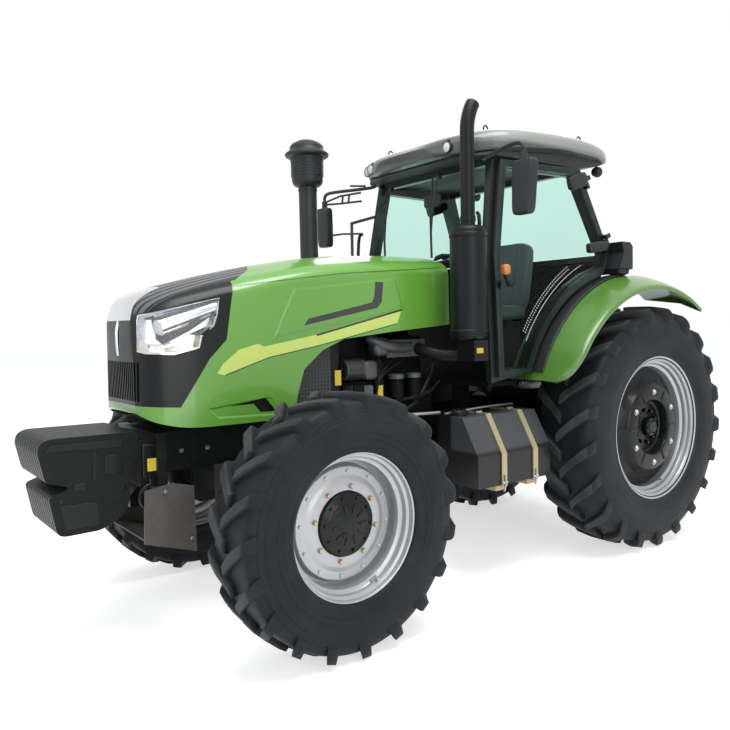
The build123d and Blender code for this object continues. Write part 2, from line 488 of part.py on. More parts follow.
def make_cab_body():
    """Floor tub, walls, screens, roof lining and roof."""
    low, high = CAB_FLOOR_Z - CAB_FLOOR_T, CAB_FLOOR_Z
    floor = block(CAB_BACK_X, 1350, -525, 525, low, high) + block(1085, 1350, -645, 645, low, high)
    toe_low, toe_high = side_y(1270, 1270) - 90, side_y(1270, 2009) - 90
    toe = front_plate([(-toe_low, high - 1), (toe_low, high - 1), (toe_high, 2009), (-toe_high, 2009)], 1222, 1243)
    wall = arc_points(FENDER_R, FENDER_FROM + 1, 84, 8) + [(CAB_BACK_X, 1940), (CAB_BACK_X, low), (1040, low)]
    side = side_plate(wall, 515, FENDER_IN_Y - SEAT_GAP)
    back_top = side_y(120, 2040) - 100
    back = block(CAB_BACK_X, CAB_BACK_X + 20, -525, 525, low, 2050)
    back = back + block(CAB_BACK_X, CAB_BACK_X + 20, -back_top, back_top, 1965, 2050)
    back = back + block(CAB_BACK_X, 240, -back_top, back_top, 2050, 2060 - SEAT_GAP)
    add("cab_floor", floor, toe, side, other_side(side), back)
    # panes lie on the outside of the rings, 0.3 mm off
    def pane(low_xz, high_xz, out, half_low, half_high):
        run = Vector(high_xz[0] - low_xz[0], 0, high_xz[1] - low_xz[1]).normalized()
        off = Vector(-run.Z, 0, run.X) * out
        near = [Vector(p[0], 0, p[1]) + off * SEAT_GAP for p in (low_xz, high_xz)]
        far = [p + off * GLASS_T for p in near]
        strip = side_plate([(p.X, p.Z) for p in (near[0], near[1], far[1], far[0])], -900, 900)
        trapezoid = front_plate([(-half_low, low_xz[1] - 5), (half_low, low_xz[1] - 5),
                                 (half_high, high_xz[1] + 5), (-half_high, high_xz[1] + 5)], -300, 1800)
        return strip & trapezoid

    pane_edge = DOOR_T + MOVE_GAP + PILLAR_T - 12
    front = pane((1334, 2062), (1334 - 99.6, 2685), -1, side_y(1334, 2062) - pane_edge, side_y(1234, 2685) - pane_edge)
    rear = pane((171.8, 2112), (404.2, 2685), 1, side_y(171, 2112) - pane_edge, side_y(403, 2685) - pane_edge)
    group("cab_glass", front, rear)
    plan = [(1500, -240), (1500, 240), (1430, 420), (1330, 570), (1200, 690), (1000, 735), (300, 735), (60, 660),
            (0, 480), (0, -480), (60, -660), (300, -735), (1000, -735), (1200, -690), (1330, -570), (1430, -420)]
    lining = side_plate([(430, ROOF_LOW_Z + SEAT_GAP), (1330, ROOF_LOW_Z + SEAT_GAP), (1400, 2710), (1100, 2738),
                         (500, 2788), (120, 2770), (180, 2745)], -640, 640)
    add("roof_lining", lining & extrude(Plane.XY.offset(2600) * outline(plan), 300))
    crown = [(0, 2790), (20, 2850), (160, 2905), (650, 2930), (1200, 2905), (1420, 2850), (1500, 2800),
             (1490, 2735), (1400, 2710.4), (1100, 2738.4), (500, 2788.4), (120, 2770.4)]
    cap = front_plate([(-760, 2600), (760, 2600), (760, 2790), (700, 2875), (560, 2935), (-560, 2935), (-700, 2875),
                       (-760, 2790)], -50, 1550)
    add("cab_roof", side_plate(crown, -760, 760) & extrude(Plane.XY.offset(2600) * outline(plan), 400) & cap)


def make_interior():
    """Seat, its stand, and the steering console with its wheel."""
    stand = block(520, 880, -190, 190, CAB_FLOOR_Z + SEAT_GAP, 1640)
    console = side_plate([(1090, CAB_FLOOR_Z + SEAT_GAP), (1215, CAB_FLOOR_Z + SEAT_GAP), (1215, 1960),
                          (1080, 1900)], -170, 170)
    column = rod((1140, 0, 1800), (985, 0, 1990), 32)
    plane = Plane(origin=(980, 0, 1997), z_dir=Vector(-155, 0, 190))
    wheel = plane * (prism(205, 26, 16) - prism(180, 40, 16)) + plane * Box(370, 34, 16) + plane * prism(45, 30, 8)
    group("cab_controls", stand, console + column + wheel)
    cushion = block(470, 950, -250, 250, 1640 + SEAT_GAP, 1765)
    back = side_plate([(470, 1700), (560, 1765), (470, 2230), (360, 2230)], -235, 235)
    add("seat", cushion, back)


def make_fenders():
    """Arched fenders that droop outwards."""
    sections = []
    for i in range(15):
        turn = radians(FENDER_FROM + (FENDER_TO - FENDER_FROM) * i / 14)
        outwards = Vector(cos(turn), 0, sin(turn))
        edge_r = FENDER_R - 40 + 40 * cos(turn) - 45 * sin(turn)
        lines = [(FENDER_IN_Y, FENDER_R), (FENDER_MID_Y, FENDER_R), (FENDER_OUT_Y, edge_r)]
        top = [Vector(0, y, REAR_TYRE_R) + outwards * r for y, r in lines]
        sections.append(top + [corner - outwards * FENDER_T for corner in reversed(top)])
    fender = skin(sections)
    group("fenders", fender, other_side(fender))


# ---------------------------------------------------------------- stacks, boxes, lamps, mirrors
def make_outside():
    """Exhaust, air intake, tank with its straps, battery box, lamps and mirrors."""
    x, y = MUFFLER_X, MUFFLER_Y
    can = rod((x, y, 1530), (x, y, 2235), MUFFLER_R, 24)
    up = pipe([(x, y, 2230), (x, y, 2840), (x - 18, y, 2915), (x - 72, y, 2985)], 45, 16)
    feed = pipe([(x, y, 1535), (x, y, 1450), (x + 25, y - 50, 1420), (x + 90, 420, 1485),
                 (x + 90, 300 + SEAT_GAP, 1485)], 38)
    holder = block(x - 30, x + 30, 250 + SEAT_GAP, y - 40, 1180, 1200)
    holder = holder + block(x - 30, x + 30, y - 60, y - 40, 1190, 1535)
    add("exhaust", can, up, feed, holder)
    x, y = STACK_X, STACK_Y
    stack = pipe([(x, y, 2640), (x, y, 1560), (x, y + 70, 1490), (x, -200 - SEAT_GAP, 1490)], STACK_R, 16)
    cap = [(100, 2622), (112, 2660), (112, 2815), (150, 2825), (150, 2860), (118, 2912), (60, 2937)]
    add("air_intake", stack, Pos(x, y, 0) * Rot(90, 0, 0) * faceted_disc(cap, 16))
    tank = front_plate([(480, 640), (830, 640), (830, 830), (700, 1060), (480, 1060)], 975, 1640)
    add("fuel_tank", tank)
    bands = []
    for x in (1130, 1420):
        band = front_plate([(470, 630), (840, 630), (840, 834), (705, 1070), (470, 1070)], x - 22, x + 22)
        band = band - front_plate([(480 - 200, 640 - SEAT_GAP), (830 + SEAT_GAP, 640 - SEAT_GAP), (830 + SEAT_GAP, 830),
                                   (700, 1060 + SEAT_GAP), (480 - 200, 1060 + SEAT_GAP)], x - 50, x + 50)
        foot = block(x - 40, x + 40, 230 + SEAT_GAP, 800, 600, 630)
        post = block(x - 40, x + 40, 230 + SEAT_GAP, 262, 600, 800)
        bands.append(band + foot + post)
    group("tank_straps", *bands)
    box = block(1000, 1520, -820, -480, 640, 1040)
    shelf = block(1050, 1470, -480.5, -230 - SEAT_GAP, 780, 800)
    add("battery_box", box, shelf)
    arm = pipe([(1290, 560, ROOF_LOW_Z), (1290, 560, 2680), (1340, 700, 2680), (1440, 900, 2680),
                (1440, 1025, 2680), (1440, 1025, 2580)], 13, 8)
    head = side_plate([(1405, 2275), (1420, 2260), (1460, 2260), (1475, 2290), (1475, 2575), (1455, 2600),
                       (1420, 2600)], 940, 1110)
    group("mirrors", arm + head, other_side(arm + head))
    tail = side_plate([(60, 1990), (236.3, 1990), (170.5, 2110), (202.9, 2190), (90, 2190), (60, 2160)], 684, 850)
    front_lamps = [block(x, x + 45, y, y + 75, 2632, ROOF_LOW_Z) for x, y in ((1285, 385), (1250, 468))]
    lamps = [tail, *front_lamps, block(130, 175, 560, 650, 2676, 2746.6)]
    group("lamps", *lamps, *[other_side(lamp) for lamp in lamps])


# ---------------------------------------------------------------- rear linkage
def make_hitch():
    """Drawbar, lower links, lift arms and lift rods; arms, rods and links form a parallelogram."""
    droop = radians(LINK_DROOP)
    ux, uz = -cos(droop), -sin(droop)
    (px, pz), (ax, az), y = LINK_PIVOT, ARM_PIVOT, LINK_Y
    end, mid = (px + LINK_LEN * ux, pz + LINK_LEN * uz), (px + ARM_LEN * ux, pz + ARM_LEN * uz)
    tip = (ax + ARM_LEN * ux, az + ARM_LEN * uz)

    def across(point, y0, y1, radius):
        return rod((point[0], y0, point[1]), (point[0], y1, point[1]), radius)

    link = bar((px, y, pz), (end[0], y, end[1]), 30, 70) + across((px, pz), y - 15, y + 15, 38)
    link = link + across(end, y - 22, y + 22, HITCH_REACH)
    link = link - across((px, pz), y - 40, y + 40, 14 + HOLE_MORE) - across(mid, y - 40, y + 40, 12 + HOLE_MORE)
    add_pair("lower_link", link - bore((end[0], y - 40, end[1]), (end[0], y + 40, end[1]), LINK_EYE_R))
    arm = bar((ax, y - 15, az), (tip[0], y - 15, tip[1]), 30, 80) + across(tip, y - 30, y, 40)
    arm = arm + across((ax, az), 262, y, 52) + across(tip, y - 5, y + 54, 12)
    shaft = rod((ax, -300, az), (ax, 300, az), SHAFT_R, 16)
    add("lift_arms", arm, other_side(arm), shaft)
    y_rod = y + 15 + MOVE_GAP
    rod_bar = bar((mid[0], y_rod + 14, mid[1]), (tip[0], y_rod + 14, tip[1]), 28, 34)
    rod_bar = rod_bar + across(tip, y_rod, y_rod + 28, 28) + across(mid, y_rod, y_rod + 28, 28)
    rod_bar = rod_bar - across(tip, y_rod - 10, y_rod + 40, 12 + HOLE_MORE)
    add_pair("lift_rod", rod_bar + across(mid, y - 18, y_rod + 5, 12))
    bar_x = DRAWBAR_BACK_X
    pull = block(bar_x, 290, -45, 45, DRAWBAR_Z - 20, DRAWBAR_Z + 20)
    pull = pull - bore((bar_x + 50, 0, DRAWBAR_Z - 40), (bar_x + 50, 0, DRAWBAR_Z + 40), DRAWBAR_PIN_R)
    add("drawbar", pull)


def save():
    """Writes one STEP file per node, moved to the origin under the middle of the length."""
    os.makedirs("parts", exist_ok=True)
    for name, shape in nodes.items():
        export_step(Pos(-SHIFT, 0, 0) * shape, f"parts/{name}.step")


make_wheels()
make_running_gear()
make_front_frame()
make_hood()
make_cab_frame()
make_doors()
make_cab_body()
make_interior()
make_fenders()
make_outside()
make_hitch()
save()
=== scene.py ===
"""Farm tractor: a smooth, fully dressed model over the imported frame, with its stage, lights and camera."""

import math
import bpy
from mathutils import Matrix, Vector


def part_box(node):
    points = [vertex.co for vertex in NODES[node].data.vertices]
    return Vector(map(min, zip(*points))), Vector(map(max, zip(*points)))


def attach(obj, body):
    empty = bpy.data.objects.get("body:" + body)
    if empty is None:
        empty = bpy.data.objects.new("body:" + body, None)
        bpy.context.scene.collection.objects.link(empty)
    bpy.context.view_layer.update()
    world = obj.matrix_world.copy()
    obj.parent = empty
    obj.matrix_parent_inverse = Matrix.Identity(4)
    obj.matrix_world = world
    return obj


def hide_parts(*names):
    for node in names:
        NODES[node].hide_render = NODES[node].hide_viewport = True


bl_info = {
    "name": "Farm tractor",
    "version": (1, 0, 0),
    "blender": (4, 5, 0),
    "location": "View3D > Sidebar > Tractor",
    "description": "Builds the tyres, body panels, cab, stacks, lamps and ballast of a farm tractor",
    "category": "Add Mesh",
}

import bmesh
import bpy
import numpy as np
from mathutils import Matrix

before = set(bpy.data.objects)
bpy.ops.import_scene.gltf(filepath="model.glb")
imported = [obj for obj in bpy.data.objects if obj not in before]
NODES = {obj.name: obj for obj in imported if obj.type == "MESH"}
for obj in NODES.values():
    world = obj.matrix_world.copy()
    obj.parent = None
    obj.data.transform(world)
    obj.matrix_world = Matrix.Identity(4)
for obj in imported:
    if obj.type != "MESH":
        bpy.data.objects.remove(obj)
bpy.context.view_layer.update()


def middle(node):
    """The middle of a node's box."""
    low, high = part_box(node)
    return (np.array(low) + np.array(high)) / 2


REAR_AXLE, FRONT_AXLE = middle("rear_tyre_left"), middle("front_tyre_left")
AXLE_X = REAR_AXLE[0]
# metres; the front lugs' height is a share of the rear ones'
TYRE_RADIUS, BEAD_RADIUS = {"rear": 0.865, "front": 0.660}, {"rear": 0.4835, "front": 0.3665}
FRONT_LUG_SHARE = 0.84
SIDES = ((1, "left"), (-1, "right"))


# ---------------------------------------------------------------- settings
def tint(name, description, default):
    """A colour setting."""
    return bpy.props.FloatVectorProperty(name=name, description=description, subtype="COLOR", default=default,
                                         min=0, max=1)


class TractorPaint(bpy.types.PropertyGroup):
    """Colours of the painted and moulded pieces."""

    body: tint("Body", "Paint of the hood and the fenders", (0.112, 0.300, 0.038))
    stripe: tint("Stripe", "Pale stripe along the hood", (0.50, 0.62, 0.13))
    dark: tint("Dark trim", "Fascia, frames and castings", (0.006, 0.009, 0.010))
    rim: tint("Rims", "Paint of the wheel rims", (0.42, 0.43, 0.45))
    roof: tint("Roof", "Moulding of the cab roof", (0.250, 0.265, 0.245))
    glass: tint("Panes", "Tint of the cab panes", (0.76, 0.93, 0.88))


class TractorWheels(bpy.types.PropertyGroup):
    """Tread of the tyres."""

    rear_lugs: bpy.props.IntProperty(
        name="Rear lugs", description="Lugs on each side of a rear tyre", default=21, min=8, max=40)
    front_lugs: bpy.props.IntProperty(
        name="Front lugs", description="Lugs on each side of a front tyre", default=19, min=8, max=40)
    lug_height: bpy.props.FloatProperty(
        name="Lug height", description="From the casing to a lug's top", default=0.043, min=0.01, max=0.08,
        unit="LENGTH")
    lug_share: bpy.props.FloatProperty(
        name="Lug width", description="Part of the tread that a lug's top takes", default=0.34, min=0.1, max=0.6,
        subtype="FACTOR")


class TractorStage(bpy.types.PropertyGroup):
    """Floor, lights and camera."""

    lens: bpy.props.FloatProperty(
        name="Lens", description="Focal length on a 36 mm wide sensor", default=36.23, min=10, max=200)
    sky: bpy.props.FloatProperty(
        name="Sky", description="Strength of the even light from all round", default=0.50, min=0, max=3)
    key: bpy.props.FloatProperty(
        name="Key light", description="Power of the large light", default=640.0, min=0, max=5000, unit="POWER")


# ---------------------------------------------------------------- arrays and meshes
def place(points):
    """Millimetres from the rear axle, the centre plane and the ground, as metres in the row's frame."""
    return np.asarray(points, float) / 1000 + (AXLE_X, 0, 0)


def point(x, y, z):
    """One such point."""
    return place([(x, y, z)])[0]


def grid(rows, columns, wrap_rows=False, wrap_columns=False):
    """Quads between neighbours on a grid of points numbered row by row."""
    r = np.arange(rows if wrap_rows else rows - 1)[:, None]
    c = np.arange(columns if wrap_columns else columns - 1)[None, :]
    r2, c2 = (r + 1) % rows, (c + 1) % columns
    return np.stack([r * columns + c, r * columns + c2, r2 * columns + c2, r2 * columns + c], -1).reshape(-1, 4)


def rounded(points, rounds=2, closed=False):
    """Corner cutting: each round replaces a run from p to q by 3/4 p + 1/4 q and 1/4 p + 3/4 q, ends kept."""
    p = np.asarray(points, float)
    for _ in range(rounds):
        q = np.roll(p, -1, axis=0) if closed else p[1:]
        base = p if closed else p[:-1]
        cut = np.stack([0.75 * base + 0.25 * q, 0.25 * base + 0.75 * q], 1).reshape(-1, *p.shape[1:])
        p = cut if closed else np.concatenate([p[:1], cut, p[-1:]])
    return p


def filleted(points, radius, steps=4):
    """A closed outline with each corner p replaced by the curve (1-u)^2 a + 2u(1-u) p + u^2 b between points a and
    b, which lie on its edges a radius away from it, or nearer on a short edge."""
    p = np.asarray(points, float)
    u = np.linspace(0, 1, steps)[None, :, None]
    ends = []
    for other in (np.roll(p, 1, 0), np.roll(p, -1, 0)):
        gap = np.linalg.norm(other - p, axis=1, keepdims=True)
        ends.append(p + (other - p) * np.minimum(radius / gap, 0.45))
    a, b = (end[:, None] for end in ends)
    return ((1 - u) ** 2 * a + 2 * u * (1 - u) * p[:, None] + u ** 2 * b).reshape(-1, p.shape[1])


def shape(points, faces):
    """A shape is a pair: points as (n, 3) and quads as (m, 4)."""
    return np.asarray(points, float).reshape(-1, 3), np.asarray(faces, int)


def joined(*shapes):
    """Several shapes as one, with the later quads' numbers moved up."""
    starts = np.cumsum([0] + [len(p) for p, _ in shapes[:-1]])
    return np.concatenate([p for p, _ in shapes]), np.concatenate([f + s for (_, f), s in zip(shapes, starts)])


def mirrored(item):
    """The shape's image on the other side of the centre plane, with its quads turned back outwards."""
    points, faces = item
    return points * (1, -1, 1), faces[:, ::-1]


def both_sides(item):
    """A shape and its mirror image."""
    return joined(item, mirrored(item))


def put(item, at, side):
    """A shape made for a left-hand wheel about the origin, set at its axle; a right-hand one is its mirror image."""
    return item[0] * (1, side, 1) + at, item[1]


def capped(rings):
    """Rings of points joined one after another, each end drawn to its middle; from rear-axle millimetres."""
    ends = np.repeat(rings[[0, -1]].mean(1, keepdims=True), rings.shape[1], 1)
    rings = np.concatenate([ends[:1], rings, ends[1:]])
    return shape(place(rings), grid(*rings.shape[:2], False, True))


def revolved(profile, centre, axis="y", segments=96, closed=False):
    """Each (radius, along) pair goes round the axis: radius times cosine and sine of the turn."""
    profile = np.asarray(profile, float)
    turn = np.linspace(0, 2 * np.pi, segments, endpoint=False)[:, None]
    r, along = profile[None, :, 0], profile[None, :, 1] + 0 * turn
    u, v = r * np.cos(turn), r * np.sin(turn)
    order = {"x": (along, u, v), "y": (v, along, u), "z": (u, v, along)}[axis]
    return shape(np.stack(order, -1) + np.asarray(centre), grid(segments, len(profile), True, closed))


def band(inner, outer, low, high, centre, axis="z", segments=48):
    """A square-edged ring round an axis."""
    return revolved([(inner, low), (outer, low), (outer, high), (inner, high)], centre, axis, segments, True)


def tube(path, radius, sides=14, rounds=2, closed=False):
    """A ring of points carried along a rounded path; each ring lies across the path's direction."""
    p = rounded(path, rounds, closed)
    ahead = np.roll(p, -1, 0) - np.roll(p, 1, 0) if closed else np.gradient(p, axis=0)
    ahead /= np.linalg.norm(ahead, axis=1, keepdims=True)
    flat = np.linalg.svd(p - p.mean(0))[2][2] if len(p) > 2 else np.array([0.3, 0.5, 0.81])
    side = np.cross(ahead, flat)
    side /= np.linalg.norm(side, axis=1, keepdims=True)
    up = np.cross(side, ahead)
    turn = np.linspace(0, 2 * np.pi, sides, endpoint=False)[None, :, None]
    radii = np.broadcast_to(np.asarray(radius, float), (len(p),))[:, None, None]
    rings = p[:, None] + radii * (np.cos(turn) * side[:, None] + np.sin(turn) * up[:, None])
    if closed:
        return shape(rings, grid(len(p), sides, True, True))
    caps = np.repeat(p[[0, -1]][:, None], sides, 1)
    return shape(np.concatenate([caps[:1], rings, caps[1:]]), grid(len(p) + 2, sides, False, True))


def pipe(path, radius, sides=14, rounds=2, closed=False):
    """A tube along a path in rear-axle millimetres."""
    return tube(place(path), radius, sides, rounds, closed)


def pillow(low, high, power=(0.25, 0.25), rows=20, columns=40, axis="z"):
    """A superellipsoid in a box: each coordinate is a signed power of cosines and sines of two angles."""
    low, high = np.asarray(low, float), np.asarray(high, float)
    lat = np.linspace(-np.pi / 2, np.pi / 2, rows)[:, None]
    lon = np.linspace(-np.pi, np.pi, columns, endpoint=False)[None, :]

    def bent(value, exponent):
        """A power that keeps the sign."""
        return np.sign(value) * np.abs(value) ** exponent

    ring = bent(np.cos(lat), power[0])
    a, b = ring * bent(np.cos(lon), power[1]), ring * bent(np.sin(lon), power[1])
    c = bent(np.sin(lat), power[0]) + 0 * lon
    order = {"z": (a, b, c), "y": (b, c, a), "x": (c, a, b)}[axis]
    return shape((low + high) / 2 + np.stack(order, -1) * (high - low) / 2, grid(rows, columns, False, True))


def slab(outline, low, high, across="y", rounds=0):
    """A closed outline carried straight across between two values, with its ends drawn to its middle."""
    flat = rounded(outline, rounds, True) if rounds else np.asarray(outline, float)
    centre = np.repeat(flat.mean(0)[None], len(flat), 0)
    rows = [(centre, low), (flat, low), (flat, high), (centre, high)]
    spots = {"y": (0, 2), "x": (1, 2), "z": (0, 1)}[across]
    points = np.zeros((4, len(flat), 3))
    for row, (ring, value) in zip(points, rows):
        row[:, spots[0]], row[:, spots[1]] = ring[:, 0], ring[:, 1]
        row[:, "xyz".index(across)] = value
    return shape(points, grid(4, len(flat), False, True))


def bolts(centres, axis, radius, height):
    """Hexagon heads: six corners at the foot and at the top, with the top's edge drawn in a little."""
    turn = np.arange(6) * np.pi / 3
    rings = [(radius, 0), (radius, 0.7 * height), (0.8 * radius, height), (0, height)]
    flat = np.array([[(r * np.cos(t), r * np.sin(t), h) for t in turn] for r, h in rings])
    axis = np.asarray(axis, float) / np.linalg.norm(axis)
    side = np.cross(axis, (0.31, 0.87, 0.39))
    side /= np.linalg.norm(side)
    head = flat @ np.stack([side, np.cross(axis, side), axis])
    faces = grid(4, 6, False, True)
    return joined(*[shape(head + np.asarray(c), faces) for c in centres])


def ring_of(count, radius, centre, start=0.0):
    """Points at equal turns on a circle about Y."""
    turn = start + np.arange(count) * 2 * np.pi / count
    return np.stack([radius * np.cos(turn), 0 * turn, radius * np.sin(turn)], -1) + np.asarray(centre)


def moved(item, turn=(0, 0, 0), shift=(0, 0, 0), about=(0, 0, 0)):
    """A shape turned by degrees about X, Y and Z through a point, then shifted."""
    points, faces = item
    spin = np.eye(3)
    for axis, angle in zip("XYZ", turn):
        spin = np.array(Matrix.Rotation(math.radians(angle), 3, axis)) @ spin
    return (points - about) @ spin.T + about + shift, faces


def placed(name, data):
    """A new object in the scene."""
    obj = bpy.data.objects.new(name, data)
    bpy.context.scene.collection.objects.link(obj)
    return obj


def solid(name, item, merge_slivers=True):
    """An object from a shape, with doubles merged and faces turned outwards."""
    points, faces = item
    mesh = bpy.data.meshes.new(name)
    mesh.from_pydata(points.tolist(), [], faces.tolist())
    work = bmesh.new()
    work.from_mesh(mesh)
    bmesh.ops.remove_doubles(work, verts=work.verts, dist=0.00005)
    if merge_slivers:
        bmesh.ops.dissolve_degenerate(work, edges=work.edges, dist=0.00002)
    bmesh.ops.recalc_face_normals(work, faces=work.faces)
    work.to_mesh(mesh)
    work.free()
    return placed(name, mesh)


def piece(name, item, material, body="chassis", replaces=(), smooth=40.0, bevel=0.0):
    """Turns a shape or a cut object into a finished piece that rides on a body; edges sharper than an angle in
    degrees stay sharp."""
    obj = item if isinstance(item, bpy.types.Object) else solid(name, item)
    obj.name = obj.data.name = name
    if bevel:
        edge = obj.modifiers.new("edges", "BEVEL")
        edge.width, edge.segments, edge.limit_method = bevel, 2, "ANGLE"
        edge.angle_limit = math.radians(40)
    mesh = obj.data
    mesh.materials.clear()
    mesh.materials.append(FINISHES[material].material)
    mesh.polygons.foreach_set("material_index", np.zeros(len(mesh.polygons), np.int32))
    mesh.polygons.foreach_set("use_smooth", np.ones(len(mesh.polygons), bool))
    mesh.set_sharp_from_angle(angle=math.radians(smooth))
    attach(obj, body)
    if replaces:
        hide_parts(*replaces)
    return obj


def dress(material, *names):
    """Gives CAD nodes a finished material."""
    for name in names:
        data = NODES[name].data
        data.materials.clear()
        data.materials.append(FINISHES[material].material)


# ---------------------------------------------------------------- materials
class Value:
    """A number's socket; arithmetic on it adds the Math nodes."""

    def __init__(self, finish, socket):
        self.finish, self.socket = finish, socket

    def __add__(self, other):
        return self.finish.math("ADD", self, other)

    def __sub__(self, other):
        return self.finish.math("SUBTRACT", self, other)

    def __rsub__(self, other):
        return self.finish.math("SUBTRACT", other, self)

    def __mul__(self, other):
        return self.finish.math("MULTIPLY", self, other)

    def __truediv__(self, other):
        return self.finish.math("DIVIDE", self, other)

    def __pow__(self, other):
        return self.finish.math("POWER", self, other)

    def __abs__(self):
        return self.finish.math("ABSOLUTE", self)

    __radd__, __rmul__ = __add__, __mul__

    def above(self, edge, soft=0.001):
        """0 below the edge and 1 above it, with a soft step between."""
        return self.finish.math("MULTIPLY_ADD", self, 1 / soft, 0.5 - edge / soft, clamp=True)

    def near(self, middle, width):
        """1 within a width of a middle value, falling to 0 on both sides."""
        return 1 - abs(self - middle).above(width, width)


class Nodes:
    """A node tree and the nodes put into it."""

    def __init__(self, tree):
        self.tree = tree

    def node(self, kind, settings=None, sockets=None):
        """Adds a node: its settings first, then the values or links of its sockets."""
        made = self.tree.nodes.new(kind)
        for key, value in (settings or {}).items():
            setattr(made, key, value)
        for key, value in (sockets or {}).items():
            value = value.socket if isinstance(value, Value) else value
            if isinstance(value, bpy.types.NodeSocket):
                self.tree.links.new(value, made.inputs[key])
            else:
                made.inputs[key].default_value = value
        return made

    def math(self, operation, *values, clamp=False):
        """One Math node."""
        made = self.node("ShaderNodeMath", {"operation": operation, "use_clamp": clamp}, dict(enumerate(values)))
        return Value(self, made.outputs[0])

    def any_of(self, *masks):
        """The greatest of several masks."""
        most = masks[0]
        for mask in masks[1:]:
            most = self.math("MAXIMUM", most, mask)
        return most


FINISHES = {}


class Finish(Nodes):
    """A material: one Principled shader, the object's coordinates and the nodes between them."""

    def __init__(self, name, **sockets):
        FINISHES[name] = self
        self.material = bpy.data.materials.new(name)
        self.material.use_nodes = True
        super().__init__(self.material.node_tree)
        self.tree.nodes.clear()
        values = {key.replace("_", " "): value for key, value in sockets.items()}
        self.shader = self.node("ShaderNodeBsdfPrincipled", None, values)
        self.output = self.node("ShaderNodeOutputMaterial", None, {"Surface": self.shader.outputs[0]})
        self.where = self.node("ShaderNodeTexCoord").outputs["Object"]
        split = self.node("ShaderNodeSeparateXYZ", None, {0: self.where})
        self.x, self.y, self.z = (Value(self, socket) for socket in split.outputs)

    def mix(self, factor, first, second):
        """From the first colour at 0 to the second at 1."""
        made = self.node("ShaderNodeMix", {"data_type": "RGBA"}, {0: factor, 6: first, 7: second})
        return made.outputs[2]

    def saw(self, value, step):
        """Rises from 0 to 1 and falls back over every two steps."""
        return self.math("PINGPONG", value, step) / step

    def noise(self, scale, detail=3.0):
        """Cloudy values about 0.5, finer with a larger scale."""
        made = self.node("ShaderNodeTexNoise", None, {"Vector": self.where, "Scale": scale, "Detail": detail})
        return Value(self, made.outputs[0])

    def inside(self, corners, soft=0.002):
        """1 inside a convex outline in the side view: the least of the distances to its edges, stepped."""
        corners = place([(x, 0, z) for x, z in corners])[:, [0, 2]]
        ahead = np.roll(corners, -1, 0) - corners
        ahead /= np.linalg.norm(ahead, axis=1, keepdims=True)
        inwards = np.stack([-ahead[:, 1], ahead[:, 0]], -1)
        inwards *= np.sign(((corners.mean(0) - corners) * inwards).sum(1))[:, None]
        least = None
        for (nx, nz), (px, pz) in zip(inwards.tolist(), corners.tolist()):
            gap = self.math("MULTIPLY_ADD", self.x, nx, self.math("MULTIPLY_ADD", self.z, nz, -nx * px - nz * pz))
            least = gap if least is None else self.math("MINIMUM", least, gap)
        return least.above(0, soft)

    def patches(self, *outlines, soft=0.002):
        """1 inside any of several convex outlines."""
        return self.any_of(*[self.inside(corners, soft) for corners in outlines])

    def feed(self, key, value):
        """Links a value to one of the shader's inputs."""
        self.tree.links.new(value.socket if isinstance(value, Value) else value, self.shader.inputs[key])

    def surface(self, colour, roughness, height=None):
        """What varies over the surface: colour, roughness, and a bump whose height is in metres."""
        self.feed("Base Color", colour)
        self.feed("Roughness", roughness)
        if height is not None:
            bump = self.node("ShaderNodeBump", None, {"Distance": 1.0, "Height": height})
            self.feed("Normal", bump.outputs[0])


def rgba(colour, gain=1.0):
    """A colour with its brightness multiplied, kept below 1, and full alpha."""
    return tuple(min(1.0, c * gain) for c in colour[:3]) + (1.0,)


def weathered(name, colour, roughness, grain, grain_scale, dust, **sockets):
    """Paint, casting or moulding: cloudy tone, dust that is thicker low down, and a fine grain."""
    made = Finish(name, **sockets)
    cloud = made.noise(3.1, 4)
    speck = made.noise(34.0, 3)
    tone = made.mix(cloud, rgba(colour, 0.82), rgba(colour, 1.22))
    low = 1 - (made.z / 1.4).above(0.5, 1.6)
    film = (cloud * speck * 3.2 - 0.35).above(0.25, 0.9) * (0.35 + low) * dust
    made.surface(made.mix(film, tone, (0.21, 0.20, 0.17, 1)),
                 made.math("ADD", speck * 0.12 + (roughness - 0.06), film * 0.35, clamp=True),
                 made.noise(grain_scale, 4) * grain)


